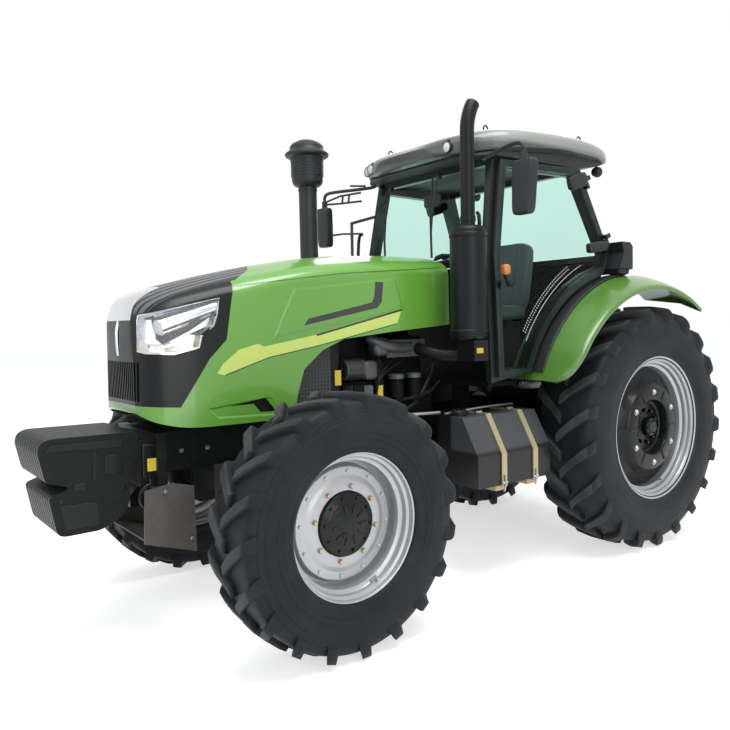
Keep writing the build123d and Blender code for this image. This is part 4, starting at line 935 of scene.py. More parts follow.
class TRACTOR_OT_hood(bpy.types.Operator):
    """The tilting hood: green shell, dark fascia with its grille, chrome brow and both headlamps."""

    bl_idname = "tractor.hood"
    bl_label = "Hood"

    def execute(self, context):
        skin = cut(loose(hood_block()), *minus(hood_block(7, lower=300, longer=80)))
        zone = loose(side_prism([(2935, 2000), (2990, 1800), (3030, 1580), (3130, 1480), (3292, 1240), (3600, 1262),
                                 (3600, 2100), (2935, 2100)]))
        plan = [(2700, 0), (2807, 200), (2935, 300), (3050, 300), (3050, -300), (2935, -300), (2807, -200)]
        cut(zone, ("UNION", plan_prism(plan, 1.72, 2.2)))
        bay = side_prism([(1300, 1641), (1948, 1592), (2287, 1560), (2440, 1500), (2568, 1396), (2619, 1250),
                          (2660, 1000), (1300, 1000)])
        vents = outwards([(2819, 1258), (2756, 1177), (2854, 1181), (2893, 1227)], 0.3, 0.3)
        slits = outwards([(3038, 1227), (2819, 1258), (2840, 1226), (2900, 1228)], 0.3, 0.3)
        shell = cut(copy_of(skin), *minus(zone, bay, *vents, *slits))
        piece("hood_green_shell", shell, "green", body="hood", replaces=("hood_shell",), smooth=32)
        lamps = outwards(LAMP_OUTLINE, 0.226, 0.4)
        x = point(3385, 0, 0)[0]
        slots = [slab([(x, y - 0.009), (x, y + 0.009), (x + 0.2, y + 0.009), (x + 0.2, y - 0.009)], 1.275, 1.475, "z")
                 for y in 0.026 * np.arange(-9, 10)]
        brow_zone = plan_prism([(3290, -120), (3520, -196), (3520, 196), (3290, 120)], 1.690, 1.9)
        fascia = cut(copy_of(skin), ("INTERSECT", zone), *minus(*lamps, *slots, brow_zone))
        piece("hood_dark_fascia", fascia, "fascia", body="hood", replaces=("hood_fascia",), smooth=32)
        brow = cut(copy_of(skin), ("INTERSECT", brow_zone))
        piece("hood_chrome_brow", brow, "chrome_trim", body="hood", replaces=("hood_brow",), smooth=32)
        self.backing()
        self.headlamps(lamps)
        for item in (skin, zone):
            bpy.data.objects.remove(item)
        return {"FINISHED"}

    def backing(self):
        """Dark plates behind the grille and the side vents, and the chrome bar down the nose."""
        nose = plan_prism([(3395, -262), (3440, -190), (3440, 190), (3395, 262), (3401, 264), (3446, 192),
                           (3446, -192), (3401, -264)], 1.262, 1.490)
        vent = side_prism([(3060, 1270), (2740, 1275), (2735, 1160), (3060, 1165)], 0.372, 0.376)
        piece("grille_backing", joined(nose, both_sides(vent)), "dark_casting", body="hood", smooth=30)
        bar = pipe([(3472, 0, 1690), (3485, 0, 1640), (3486, 0, 1560), (3479, 0, 1505)], 0.009, 12)
        piece("nose_chrome_bar", bar, "chrome_trim", body="hood", smooth=50)

    def headlamps(self, lamps):
        """Each lamp is a bright dish 60 mm deep behind a clear lens, with a projector barrel lying in it."""
        outer, thin, deep, deeper = hood_block(1), hood_block(4), hood_block(60), hood_block(65, lower=300)
        for (side, word), whole, room in zip(SIDES, lamps, outwards(shrunk(LAMP_OUTLINE, 9), 0.233, 0.4)):
            hollow = cut(loose(room), *minus(deep))
            dish = cut(loose(whole), ("INTERSECT", outer), *minus(deeper, hollow))
            bpy.data.objects.remove(hollow)
            replaced = ("headlamps",) if side > 0 else ()
            piece(f"headlamp_dish_{word}", dish, "lamp_dish", body="hood", replaces=replaced, smooth=32)
            glass = cut(loose(room), ("INTERSECT", outer), *minus(thin))
            piece(f"headlamp_lens_{word}", glass, "clear_lens", body="hood", smooth=32)
            front, back = place([(3352, side * 266, 1652), (3075, side * 318, 1750)])
            ahead = (front - back) / np.linalg.norm(front - back)
            barrel = tube([back - ahead * 0.02, back, front - ahead * 0.04, front], [0.030, 0.036, 0.047, 0.048], 32,
                          rounds=0)
            strip = pipe([(3400, side * 250, 1556), (3310, side * 300, 1552), (3205, side * 322, 1580)], 0.010, 12)
            piece(f"headlamp_projector_{word}", joined(barrel, strip), "chrome_trim", body="hood")
            look = np.array([0.86, side * 0.42, -0.28])
            # a black ring round the projector's end: partly its gasket, partly painted shadow around the white eye
            shadow_ring = tube([front - look * 0.012, front - look * 0.010, front + look * 0.006, front + look * 0.008],
                        [0.046, 0.051, 0.051, 0.047], 32, rounds=0)
            piece(f"headlamp_gasket_and_shadow_ring_{word}", shadow_ring, "black_metal", body="hood")
            eye = tube([front + look * 0.004, front + look * 0.010, front + look * 0.018], [0.044, 0.042, 0.018], 32,
                       rounds=0)
            piece(f"headlamp_eye_{word}", eye, "lamp_white", body="hood", smooth=60)


# ---------------------------------------------------------------- roof and fenders
class TRACTOR_OT_roof(bpy.types.Operator):
    """The moulded roof with its raised crown, eye bolts and drip edge."""

    bl_idname = "tractor.roof"
    bl_label = "Roof"

    def execute(self, context):
        piece("roof_moulding", self.moulding(), "roof", replaces=("cab_roof",), smooth=30)
        eyes = []
        for x, y in ((1165, 470), (1235, -430), (300, 560), (300, -560)):
            high = 2888 if x > 1000 else 2912
            turn = np.linspace(0, 2 * np.pi, 12, endpoint=False)
            ring = np.stack([x + 20 * np.cos(turn), y + 0 * turn, high + 22 + 20 * np.sin(turn)], -1)
            eyes.append(pipe(ring, 0.005, 8, rounds=0, closed=True))
            eyes.append(revolved([(0, 0), (0.019, 0), (0.019, 0.005), (0.010, 0.012), (0, 0.012)],
                                 point(x, y, high - 6), "z", 20))
        piece("roof_eye_bolts", joined(*eyes), "black_metal", smooth=50)
        return {"FINISHED"}

    def moulding(self):
        """Across each x the section is a superellipse, boxy at the sides and crowned on top; the half width and
        the top and bottom lines follow the plan and the side view."""
        t = np.linspace(0, 1, 61)
        x = 750 - 750 * np.cos(np.pi * t)
        plan = rounded([(0, 440), (8, 520), (60, 640), (300, 728), (1000, 735), (1200, 700), (1330, 590), (1430, 440),
                        (1490, 300), (1500, 230)], 2)
        top = rounded([(0, 2800), (20, 2858), (160, 2908), (650, 2932), (1200, 2908), (1420, 2852), (1500, 2795)], 2)
        low = rounded([(0, 2790), (40, 2775), (120, 2770), (500, 2788), (1100, 2739), (1400, 2711), (1490, 2730),
                       (1500, 2780)], 2)
        wide, high, bottom = (np.interp(x, line[:, 0], line[:, 1]) for line in (plan, top, low))
        turn = np.linspace(0, 2 * np.pi, 72, endpoint=False)
        c, s = np.cos(turn), np.sin(turn)
        across = np.sign(c) * np.abs(c) ** np.where(s > 0, 0.42, 0.16)
        lift = np.where(s > 0, np.abs(s) ** 0.62, -np.abs(s) ** 0.3)
        middle_z = bottom + 0.30 * (high - bottom)
        z = middle_z[:, None] + np.where(s > 0, (high - middle_z)[:, None], (middle_z - bottom)[:, None]) * lift
        raised = np.exp(-((np.abs(across) - 0.62) / 0.07) ** 4)[None] * np.exp(-((x[:, None] - 760) / 520) ** 6)
        z = z - 7.0 * raised * (s > 0.2)
        return capped(np.stack([x[:, None] + 0 * z, wide[:, None] * across, z], -1))


# the fenders' radius and the rear axle's height in millimetres
FENDER_R, WHEEL_Z = 1095, 1000 * TYRE_RADIUS["rear"]


def fender_section(turn, grow=0.0):
    """Fender's outer face over the tyre at a turn about the rear axle: level inside, drooping to a rolled edge, and
    drawn in on a quarter ellipse at its front toe."""
    fall = 40 * np.cos(turn) - 45 * np.sin(turn) - 40
    line = [(535, 0), (640, 0), (770, 0), (820, 0.08 * fall), (930, 0.46 * fall), (1030, fall + 2),
            (1041, fall - 12), (1040, fall - 26)]
    line = rounded([np.stack([y + 0 * turn, FENDER_R + grow + r + 0 * turn], -1) for y, r in line], 2)
    toe = np.clip((turn - turn[0]) / 0.24, 0, 1)
    squeeze = 0.62 + 0.38 * np.sqrt(1 - (1 - toe) ** 2)
    line[..., 0] = 640 + (line[..., 0] - 640) * np.where(line[..., 0] > 640, squeeze, 1)
    return line


class TRACTOR_OT_fenders(bpy.types.Operator):
    """Arched rear fenders with rolled outer edges and the rubber strip that seals them to the cab."""

    bl_idname = "tractor.fenders"
    bl_label = "Fenders"

    def execute(self, context):
        turn = np.radians(np.linspace(21, 122, 64))
        outer, inner = fender_section(turn), fender_section(turn, -8.0)
        inner[..., 0] -= 3.0
        inner[0, :, 0] += 3.0
        loop = np.concatenate([outer, inner[::-1]])
        r, y = loop[..., 1], loop[..., 0]
        arch = capped(np.stack([r * np.cos(turn), y, WHEEL_Z + r * np.sin(turn)], -1).transpose(1, 0, 2))
        # fenders in the body green darkened as painted shade
        piece("fender_arches", both_sides(arch), "fender_green_painted_shade", replaces=("fenders",))
        angle = np.radians(np.linspace(24, 86, 40))[:, None]
        y, r = filleted([(690, 1094), (798, 1094), (806, 1100), (800, 1108), (690, 1104)], 3).T
        strip = capped(np.stack([r * np.cos(angle), y + 0 * angle, WHEEL_Z + r * np.sin(angle)], -1))
        piece("fender_seal_strips", both_sides(strip), "plastic_black", smooth=50)
        return {"FINISHED"}


# ---------------------------------------------------------------- stacks
class TRACTOR_OT_stacks(bpy.types.Operator):
    """Exhaust with its silencer and bent tail pipe, and the intake with its rain cap."""

    bl_idname = "tractor.stacks"
    bl_label = "Stacks"

    def execute(self, context):
        at = point(1510, 640, 0)
        can = rounded([(0.034, 1.528), (0.095, 1.530), (0.113, 1.548), (0.115, 1.60), (0.115, 2.17), (0.112, 2.215),
                       (0.090, 2.233), (0.046, 2.236)], 1)
        bands = [rounded([(0.1145, z - 0.014), (0.1185, z - 0.010), (0.1185, z + 0.010), (0.1145, z + 0.014)], 1)
                 for z in (1.585, 2.175)]
        can = revolved(np.concatenate([[(0, 1.528)], can, [(0, 2.236)]]), at, "z", 72)
        bands = [revolved(np.concatenate([band, band[::-1] * (0.98, 1)]), at, "z", 72, True) for band in bands]
        shield = side_plate(1455, 1575, 1405, 1532, 0.600, 0.746)
        tail = pipe([(1510, 640, 2228), (1510, 640, 2500), (1510, 640, 2830), (1497, 640, 2895), (1474, 640, 2955),
                     (1457, 640, 2982)], 0.0445, 28)
        mouth = pipe([(1458, 640, 2981), (1454.5, 640, 2986.5)], 0.040, 28, rounds=0)
        clamp = pipe([(1510, 640, 2262), (1510, 640, 2292)], 0.049, 28, rounds=0)
        feed = pipe([(1510, 640, 1540), (1510, 640, 1470), (1525, 560, 1430), (1600, 420, 1440), (1640, 290, 1480)],
                    0.038, 20)
        piece("exhaust_stack", joined(can, *bands, tail, clamp, feed, shield), "black_metal", replaces=("exhaust",))
        piece("exhaust_mouth", mouth, "dark_casting")
        foot = point(1925, -520, 0)
        low = pipe([(1925, -520, 1700), (1925, -520, 1560), (1925, -440, 1490), (1925, -330, 1490)], 0.0625, 24)
        cap = rounded([(0.060, 2.610), (0.098, 2.624), (0.112, 2.662), (0.112, 2.812), (0.152, 2.822), (0.156, 2.846),
                       (0.122, 2.862), (0.118, 2.905), (0.060, 2.934)], 1)
        cap = revolved(np.concatenate([[(0, 2.61)], cap, [(0, 2.936)]]), foot, "z", 64)
        fins = [band(0.112, 0.1155, z, z + 0.008, foot) for z in np.linspace(2.69, 2.79, 6)]
        clip = band(0.062, 0.067, 2.585, 2.602, foot)
        riser = pipe([(1925, -520, 1640), (1925, -520, 2000), (1925, -520, 2625)], 0.0635, 28)
        piece("air_intake_stack", joined(riser, low, cap, clip, *fins), "plastic_black", replaces=("air_intake",),
              smooth=35)
        return {"FINISHED"}


# ---------------------------------------------------------------- mirrors and lamps
class TRACTOR_OT_mirrors(bpy.types.Operator):
    """Mirror heads on bent arms."""

    bl_idname = "tractor.mirrors"
    bl_label = "Mirrors"

    def execute(self, context):
        arm = pipe([(1290, 560, 2696), (1290, 560, 2680), (1340, 700, 2680), (1440, 900, 2680), (1440, 1025, 2680),
                    (1440, 1025, 2590)], 0.0125, 14)
        head = self.slim(pillow(point(1405, 941, 2261), point(1474, 1109, 2575), (0.28, 0.24), 26, 48, "x"))
        clamp = pipe([(1440, 1025, 2560), (1440, 1025, 2625)], 0.022, 14, rounds=0)
        piece("mirror_heads", both_sides(joined(arm, head, clamp)), "plastic_black", replaces=("mirrors",))
        glass = slab([(0.957, 2.282), (1.093, 2.282), (1.093, 2.554), (0.957, 2.554)], point(1402, 0, 0)[0],
                     point(1406.5, 0, 0)[0], "x", 2)
        piece("mirror_glasses", both_sides(self.slim(glass)), "chrome_trim", smooth=30)
        return {"FINISHED"}

    def slim(self, item):
        """Narrower towards its foot: widths shrink by 0.78 + 0.5 (z - 2.26), and the head leans out by 0.05 z."""
        points, faces = item
        rise = points[:, 2] - 2.261
        y = 1.029 + (points[:, 1] - 1.025) * (0.78 + 0.5 * rise) + 0.05 * (rise - 0.15)
        return np.stack([points[:, 0], y, points[:, 2]], -1), faces


class TRACTOR_OT_lamps(bpy.types.Operator):
    """Tail lamp towers, roof work lamps and the round front marker lamps."""

    bl_idname = "tractor.lamps"
    bl_label = "Lamps"

    def execute(self, context):
        tail = side_prism([(64, 1994), (226, 1994), (166, 2110), (196, 2186), (94, 2186), (64, 2156)], 0.688, 0.846)
        stand = side_prism([(90, 1962), (205, 1962), (215, 1998), (80, 1998)], 0.70, 0.83)
        piece("tail_lamp_towers", both_sides(joined(tail, stand)), "plastic_black", replaces=("lamps",), smooth=30,
              bevel=0.006)
        for name, low, high in (("red", 2.01, 2.085), ("amber", 2.095, 2.15)):
            lens = slab([(0.70, low), (0.834, low), (0.834, high), (0.70, high)], point(57.5, 0, 0)[0],
                        point(66, 0, 0)[0], "x", 1)
            piece(f"tail_lenses_{name}", both_sides(lens), f"{name}_lens", smooth=30, bevel=0.002)
        rings, glasses = [], []
        for x, y, z, ahead in ((1452, 400, 2768, 1), (1398, 508, 2774, 1), (138, 605, 2712, -1)):
            spot = point(x, y, z)
            bowl = rounded([(0.010, -0.045), (0.030, -0.042), (0.037, -0.015), (0.038, 0.004), (0.034, 0.006)], 1)
            bowl = np.concatenate([[(0, -0.045)], bowl, [(0.030, 0.002), (0, 0.002)]]) * (1, ahead)
            rings.append(revolved(bowl, spot, "x", 36))
            dome = np.array([(0, 0.000), (0.031, 0.000), (0.031, 0.003), (0.020, 0.007), (0.008, 0.009), (0, 0.009)])
            glasses.append(revolved(dome * (1, ahead), spot, "x", 36))
            rings.append(tube([spot + (-0.02 * ahead, 0, 0.03), spot + (-0.02 * ahead, 0, 0.05)], 0.010, 10, 0))
        piece("work_lamp_bodies", both_sides(joined(*rings)), "plastic_black")
        piece("work_lamp_glasses", both_sides(joined(*glasses)), "lamp_white")
        arm = pipe([(1225, 726, 1880), (1262, 745, 1905), (1300, 758, 1950)], 0.024, 14)
        cup = pillow(point(1282, 738, 1930), point(1338, 790, 1998), (0.6, 0.7), 18, 28)
        piece("side_lamp_arms", both_sides(arm), "plastic_black")
        piece("side_lamp_lenses", both_sides(cup), "amber_lens", smooth=60)
        return {"FINISHED"}


# ---------------------------------------------------------------- ballast, tank and small metal
class TRACTOR_OT_ballast(bpy.types.Operator):
    """Eleven hanging weights with cast edges, finger slots and pads on the outer faces."""

    bl_idname = "tractor.ballast"
    bl_label = "Ballast"

    def execute(self, context):
        x0, x1 = 3477, 3962
        outline = [(x0, 1128), (x1 - 60, 1134), (x1 - 16, 1118), (x1, 1075), (x1 - 32, 925), (x1 - 150, 888),
                   (x1 - 42, 852), (x1 - 76, 670), (x1 - 105, 654), (3681, 656), (3580, 700), (3530, 780),
                   (3530, 960), (x0, 980)]
        flat = filleted(place([(x, 0, z) for x, z in outline])[:, [0, 2]], 0.022)
        pitch, half = 0.0445, 0.0190
        plates = [slab(flat, pitch * k - half, pitch * k + half) for k in range(-5, 6)]
        piece("ballast_plates", joined(*plates), "ballast", replaces=("front_weights",), bevel=0.007)
        face = pitch * 5 + half - 0.0002
        pads = [side_prism(filleted(corners, radius), face, face + height) for corners, radius, height in (
            ([(3560, 1100), (3900, 1104), (3935, 1074), (3560, 1058)], 14, 0.0045),
            ([(3690, 1042), (3705, 1042), (3712, 905), (3697, 905)], 5, 0.004),
            ([(3560, 1020), (3650, 1022), (3655, 930), (3560, 930)], 16, 0.0035),
            ([(3690, 800), (3872, 806), (3850, 688), (3690, 686)], 14, 0.0045),
            ([(3745, 905), (3800, 900), (3800, 870), (3745, 866)], 10, 0.0035))]
        dots = bolts([point(3560, 240, 850), point(3862, 240, 828)], (0, 1, 0), 0.014, 0.007)
        piece("ballast_raised_marks", both_sides(joined(*pads, dots)), "gloss_black", smooth=30,
              bevel=0.0015)
        return {"FINISHED"}


class TRACTOR_OT_fittings(bpy.types.Operator):
    """Tank fittings, the dressing of the engine bay, wipers, handrails, door trim, and bolts on the frame."""

    bl_idname = "tractor.fittings"
    bl_label = "Fittings"

    def execute(self, context):
        self.tank()
        self.engine_bay()
        self.cab_trim()
        self.nose_and_frame()
        return {"FINISHED"}

    def tank(self):
        """The filler with its ribbed cap, the straps' tightening bolts and two fuel lines."""
        cap = revolved([(0, 1.058), (0.052, 1.058), (0.052, 1.085), (0.046, 1.094), (0, 1.094)],
                       point(1560, 590, 0), "z", 36)
        ribs = bolts(place([(1560 + 38 * math.cos(a), 590 + 38 * math.sin(a), 1093) for a in np.arange(8) * 0.785]),
                     (0, 0, 1), 0.007, 0.006)
        neck = pipe([(1560, 590, 1040), (1560, 590, 1062)], 0.040, 24, 0)
        piece("fuel_filler_cap", joined(cap, ribs, neck), "black_metal", smooth=30)
        bits = []
        for x in (1130, 1420):
            bits.append(bolts(place([(x - 14, 838, 655), (x + 14, 838, 655)]), (0, 1, 0), 0.008, 0.010))
            bits.append(pipe([(x, 846, 700), (x, 846, 640), (x, 836, 600)], 0.006, 8))
            bits.append(pipe([(x - 26, 620, 1072), (x + 26, 620, 1072)], 0.010, 12, 0))
        bits.append(pipe([(1650, 560, 1075), (1300, 552, 1090), (1010, 540, 1085)], 0.009, 10))
        bits.append(pipe([(2000, 470, 1090), (1800, 480, 1082), (1640, 500, 1078)], 0.010, 10))
        piece("tank_fittings", joined(*bits), "zinc", smooth=35)

    def engine_bay(self):
        """Left and right dressing: pulleys, belt, filters, fuel lines, hoses, intake duct and covers."""
        iron, bright, rubber = [], [], []
        for x, y, z, r in ((2252, 0, 1000, 95), (2252, 90, 1180, 60), (2246, 277, 1370, 40), (2252, -60, 1330, 55)):
            spot = point(x, y, z)
            iron.append(revolved(np.array([(0, -12), (r, -12), (r, -8), (r - 8, -4), (r, 0), (r - 8, 4), (r, 8),
                                           (r, 12), (0, 12)]) / 1000, spot, "x", 40))
        belt = [(2252, -95, 1000), (2252, -60, 1388), (2252, 120, 1420), (2252, 290, 1410), (2252, 317, 1370),
                (2252, 95, 985), (2252, 0, 905)]
        rubber.append(pipe(belt, 0.008, 8, 1, True))
        for x in range(2104, 2221, 13):
            bright.append(band(0.055, 0.0685, 0, 0.005, point(x, 277, 1370), "x", 36))
        for x in (1700, 1840):
            spot = point(x, 318, 1235)
            iron.append(revolved(rounded([(0, -0.09), (0.042, -0.09), (0.046, -0.07), (0.046, 0.05), (0.035, 0.066),
                                          (0, 0.066)], 1), spot, "z", 36))
            bright.append(revolved([(0.030, 0.062), (0.052, 0.062), (0.052, 0.088), (0.030, 0.092), (0, 0.092)], spot,
                                   "z", 36))
        for k in range(4):
            x = 1640 + 125 * k
            rubber.append(pipe([(1990, 300, 1180), (1960, 305, 1330), (x + 60, 275, 1420), (x, 215, 1520),
                                (x, 120, 1590)], 0.0055, 8))
            bright.append(bolts(place([(x, 110, 1638), (x + 50, -60, 1638)]), (0, 0, 1), 0.014, 0.012))
            iron.append(pillow(point(x - 52, -118, 1600), point(x + 52, 118, 1656), (0.3, 0.3), 12, 24))
        bright.append(pipe([(2010, 262, 1560), (1985, 300, 1530), (1900, 318, 1500), (1800, 300, 1490),
                            (1700, 285, 1492)], 0.036, 20))
        bright.append(pillow(point(1880, 225, 1440), point(2010, 330, 1560), (0.6, 0.6), 18, 28))
        bright.append(pillow(point(1985, 250, 1300), point(2095, 330, 1420), (0.5, 0.5), 16, 24))
        for radius, sides, path in (
                (0.030, 18, [(2350, 240, 1760), (2290, 260, 1790), (2200, 230, 1760), (2120, 180, 1640)]),
                (0.028, 18, [(2350, 250, 1230), (2300, 285, 1180), (2240, 280, 1100), (2160, 262, 1050)]),
                (0.014, 12, [(1500, 300, 1380), (1560, 330, 1300), (1700, 335, 1120), (1900, 310, 1050)]),
                (0.010, 10, [(1480, 330, 1260), (1600, 352, 1190), (1820, 350, 1160), (2200, 330, 1150)]),
                (0.016, 12, [(1640, -300, 1500), (1800, -345, 1420), (2050, -330, 1300), (2240, -300, 1210)])):
            rubber.append(pipe(path, radius, sides))
        iron.append(side_prism([(1930, 1130), (1985, 1130), (2000, 1400), (1960, 1440), (1930, 1400)], 0.286, 0.300))
        iron.append(side_plate(2125, 2205, 1115, 1280, 0.352, 0.362))
        iron.append(side_plate(1560, 2120, 930, 1060, 0.250, 0.262))
        iron.append(bolts([point(x, 262, z) for x in range(1600, 2100, 80) for z in (945, 1045)], (0, 1, 0),
                          0.011, 0.010))
        tags = [side_plate(x - 22, x + 22, z - 45, z + 45, y, y + 0.0025)
                for x, z, y in ((1958, 1215, 0.301), (2300, 1330, 0.334))]
        # painted shade: the engine bay's metal in the darker black of its shaded depths
        piece("engine_bay_metal", joined(*iron), "deep_black_painted_shade", smooth=32)
        piece("engine_bay_castings", joined(*bright), "grey_casting")
        piece("engine_bay_hoses", joined(*rubber), "black_metal", smooth=50)
        piece("engine_bay_tags", joined(*tags), "yellow_tag", smooth=30)
        screen = side_plate(2350, 2590, 1150, 1800, 0.3305, 0.334)
        piece("radiator_side_screens", both_sides(screen), "screen_mesh", smooth=30)

    def cab_trim(self):
        """Wipers, handrails, the mirror inside, and what is fixed to the doors and to the right-hand mirror arm."""
        blades = []
        for y in (250, -250):
            pivot, tip = np.array((1392, y, 2610)), np.array((1406, y - 60, 2250))
            blades.append(pipe([pivot, (pivot + tip) / 2 + (14, 0, 0), tip], 0.006, 8))
            blades.append(pipe([tip + (2, -4, 180), tip + (2, 4, -170)], 0.008, 8, 0))
            blades.append(pipe([pivot - (22, 0, 0), pivot + (6, 0, 0)], 0.016, 14, 0))
        piece("window_wipers", joined(*blades), "plastic_black")
        grip = pipe([(1385, 600, 1480), (1405, 640, 1500), (1405, 640, 1700), (1405, 640, 2300), (1385, 600, 2330)],
                    0.012, 12)
        piece("front_handrails", both_sides(grip), "black_metal", smooth=50)
        glass = pillow(point(1322, 50, 2430), point(1346, 215, 2520), (0.4, 0.3), 14, 24)
        stalk = pipe([(1335, 130, 2520), (1335, 130, 2600), (1320, 130, 2660)], 0.007, 8)
        piece("cabin_mirror", joined(glass, stalk), "plastic_black")
        for side, word in SIDES:
            covers = [pillow((-0.095, -0.002, -0.048), (0.095, 0.046, 0.048), (0.35, 0.4), 16, 28, "y"),
                      pillow((-0.105, -0.002, -0.036), (0.105, 0.052, 0.036), (0.35, 0.4), 16, 28, "y")]
            covers = [moved(item, (0, tip, 0), self.door_spot(x, z, 8))
                      for item, tip, x, z in zip(covers, (18, 8), (525, 368), (2592, 2146))]
            points, faces = joined(*covers)
            piece(f"door_hinge_covers_{word}", (points * (1, side, 1), faces), "plastic_black", body=f"door_{word}")
            turn = np.radians(np.linspace(31, 66, 40))
            line = tube([self.door_arc(1262, t) for t in turn], 0.0014, 6, 0)
            dot = pillow((-0.0045, -0.0014, -0.0045), (0.0045, 0.0014, 0.0045), (0.8, 1), 5, 8, "y")
            dots = [(dot[0] + self.door_arc(radius, t), dot[1])
                    for radius in (1292, 1312) for t in np.radians(np.linspace(33, 60, 32))]
            points, faces = joined(line, *dots)
            piece(f"door_glass_lines_{word}", (points * (1, side, 1), faces), "lamp_white", body=f"door_{word}")
        arms = [[(1385, -618, 2640), (1430, -820, 2640), (1440, -1010, 2618)],
                [(1385, -610, 2575), (1430, -820, 2582), (1440, -1010, 2600)],
                [(1410, -730, 2640), (1412, -740, 2580)], [(1420, -800, 2640), (1418, -815, 2582)],
                [(1395, -620, 2330), (1430, -800, 2345), (1438, -985, 2350)],
                [(1350, -600, 2690), (1420, -700, 2700)]]
        piece("mirror_braces", joined(*[pipe(path, 0.008, 8, 0) for path in arms]), "plastic_black")

    def door_spot(self, x, z, off):
        """A point a distance off the left door's outer face, whose y falls by 0.08 forward and 0.075 upward."""
        return point(x, 800 - 0.08 * (x - 300) - 0.075 * (z - 1283) + off, z)

    def door_arc(self, radius, turn):
        """A point just off the left door's glass at a radius and a turn about the rear axle."""
        return self.door_spot(radius * math.cos(turn), WHEEL_Z + radius * math.sin(turn), 7.4)

    def nose_and_frame(self):
        """Bolts on the frame and the guard, the small box with its hook behind the weights, and bare tags."""
        heads = bolts(place([(3235, 308, 545), (3370, 308, 812)]), (0, 1, 0), 0.011, 0.009)
        heads = joined(heads, bolts(place([(2600, 235, 940), (2600, 235, 1060), (2820, 235, 940), (2820, 235, 1060),
                                           (3100, 235, 1000), (3250, 235, 1000)]), (0, 1, 0), 0.014, 0.011))
        piece("frame_bolts", both_sides(heads), "zinc", smooth=30)
        box = pillow(point(3372, 205, 885), point(3470, 268, 1060), (0.12, 0.12), 14, 24)
        ring = [(3430 + 62 * math.cos(t), 262 + 4 * math.cos(t), 790 + 62 * math.sin(t))
                for t in np.arange(16) * np.pi / 8]
        hook = pipe(ring, 0.009, 10, 1, True)
        link = pipe([(3430, 262, 845), (3430, 256, 875), (3430, 245, 905)], 0.009, 10)
        piece("nose_box_and_hook", joined(box, hook, link), "gloss_black")
        plate = side_plate(3392, 3446, 920, 985, 0.266, 0.2705)
        tag = side_plate(1500, 1555, 1452, 1484, 0.7455, 0.7485)
        piece("bare_tags", joined(plate, tag), "yellow_tag", smooth=30)


# ---------------------------------------------------------------- seat
class TRACTOR_OT_seat(bpy.types.Operator):
    """Driver's seat: a crowned cushion and a back with sewn channels, on a bellows and a base plate."""

    bl_idname = "tractor.seat"
    bl_label = "Seat"

    def execute(self, context):
        cushion = pillow(point(478, -244, 1648), point(944, 244, 1764), (0.42, 0.30), 60, 96)
        points, faces = cushion
        y, x = points[:, 1], points[:, 0] - AXLE_X
        top = points[:, 2] > 1.70
        channel = 0.007 * np.exp(-((np.abs(y) - 0.15) / 0.008) ** 2) + 0.006 * sum(
            np.exp(-((x - at) / 0.008) ** 2) for at in (0.62, 0.70, 0.78)) * (np.abs(y) < 0.15)
        points[:, 2] -= top * (channel + 0.012 * np.exp(-(y / 0.13) ** 2))
        seat = piece("seat_cushion", (points, faces), "seat_cloth", replaces=("seat",), smooth=60)
        back = pillow((-0.055, -0.23, 0.0), (0.055, 0.23, 0.53), (0.32, 0.36), 70, 90)
        points, faces = back
        front = points[:, 0] > 0.01
        groove = sum(np.exp(-((points[:, 2] - at) / 0.009) ** 2) for at in (0.12, 0.20, 0.28, 0.36, 0.44))
        edge = np.exp(-((np.abs(points[:, 1]) - 0.145) / 0.009) ** 2)
        points[:, 0] -= front * (0.006 * groove * (np.abs(points[:, 1]) < 0.145) + 0.008 * edge)
        points[:, 0] -= front * 0.014 * np.exp(-(points[:, 1] / 0.12) ** 2)
        back = moved((points, faces), turn=(0, -10, 0), shift=point(512, 0, 1706))
        rest = piece("seat_back", back, "seat_cloth", smooth=60)
        spot = point(710, 0, 0)
        folds = [(0.16 + 0.02 * (k % 2), 1.36 + 0.035 * k) for k in range(8)]
        bellows = revolved([(0, 1.355)] + folds + [(0, 1.61)], spot, "z", 48)
        plate = plan_prism([(520, -190), (900, -190), (900, 190), (520, 190)], 1.612, 1.646, 2)
        foot = plan_prism([(540, -170), (880, -170), (880, 170), (540, 170)], 1.262, 1.358, 2)
        piece("seat_bellows", joined(bellows, plate, foot), "plastic_black", smooth=35)
        return {"FINISHED"}


# ---------------------------------------------------------------- stage
CAMERA_AT = (3.3539, 3.8925, 1.6504)
HEADING, PITCH, ROLL = -2.218, -0.057, 0.021
# each light's name, place, size and share of the key light's power; all face the target
LIGHTS = (("key", (1.0, 2.6, 8.5), 5.0, 1.0), ("fill", (2.5, 8.5, 3.5), 5.0, 0.30),
          ("front", (9.0, -1.0, 4.5), 5.0, 0.16), ("back", (-7.0, -6.0, 6.0), 6.0, 0.40))
TARGET = (0, 0, 1.3)


def standing(x_axis, y_axis, z_axis, at):
    """The matrix of an object with those axes at that place."""
    turn = np.eye(4)
    turn[:3] = np.stack([x_axis, y_axis, z_axis, at], -1)
    return Matrix(turn.tolist())


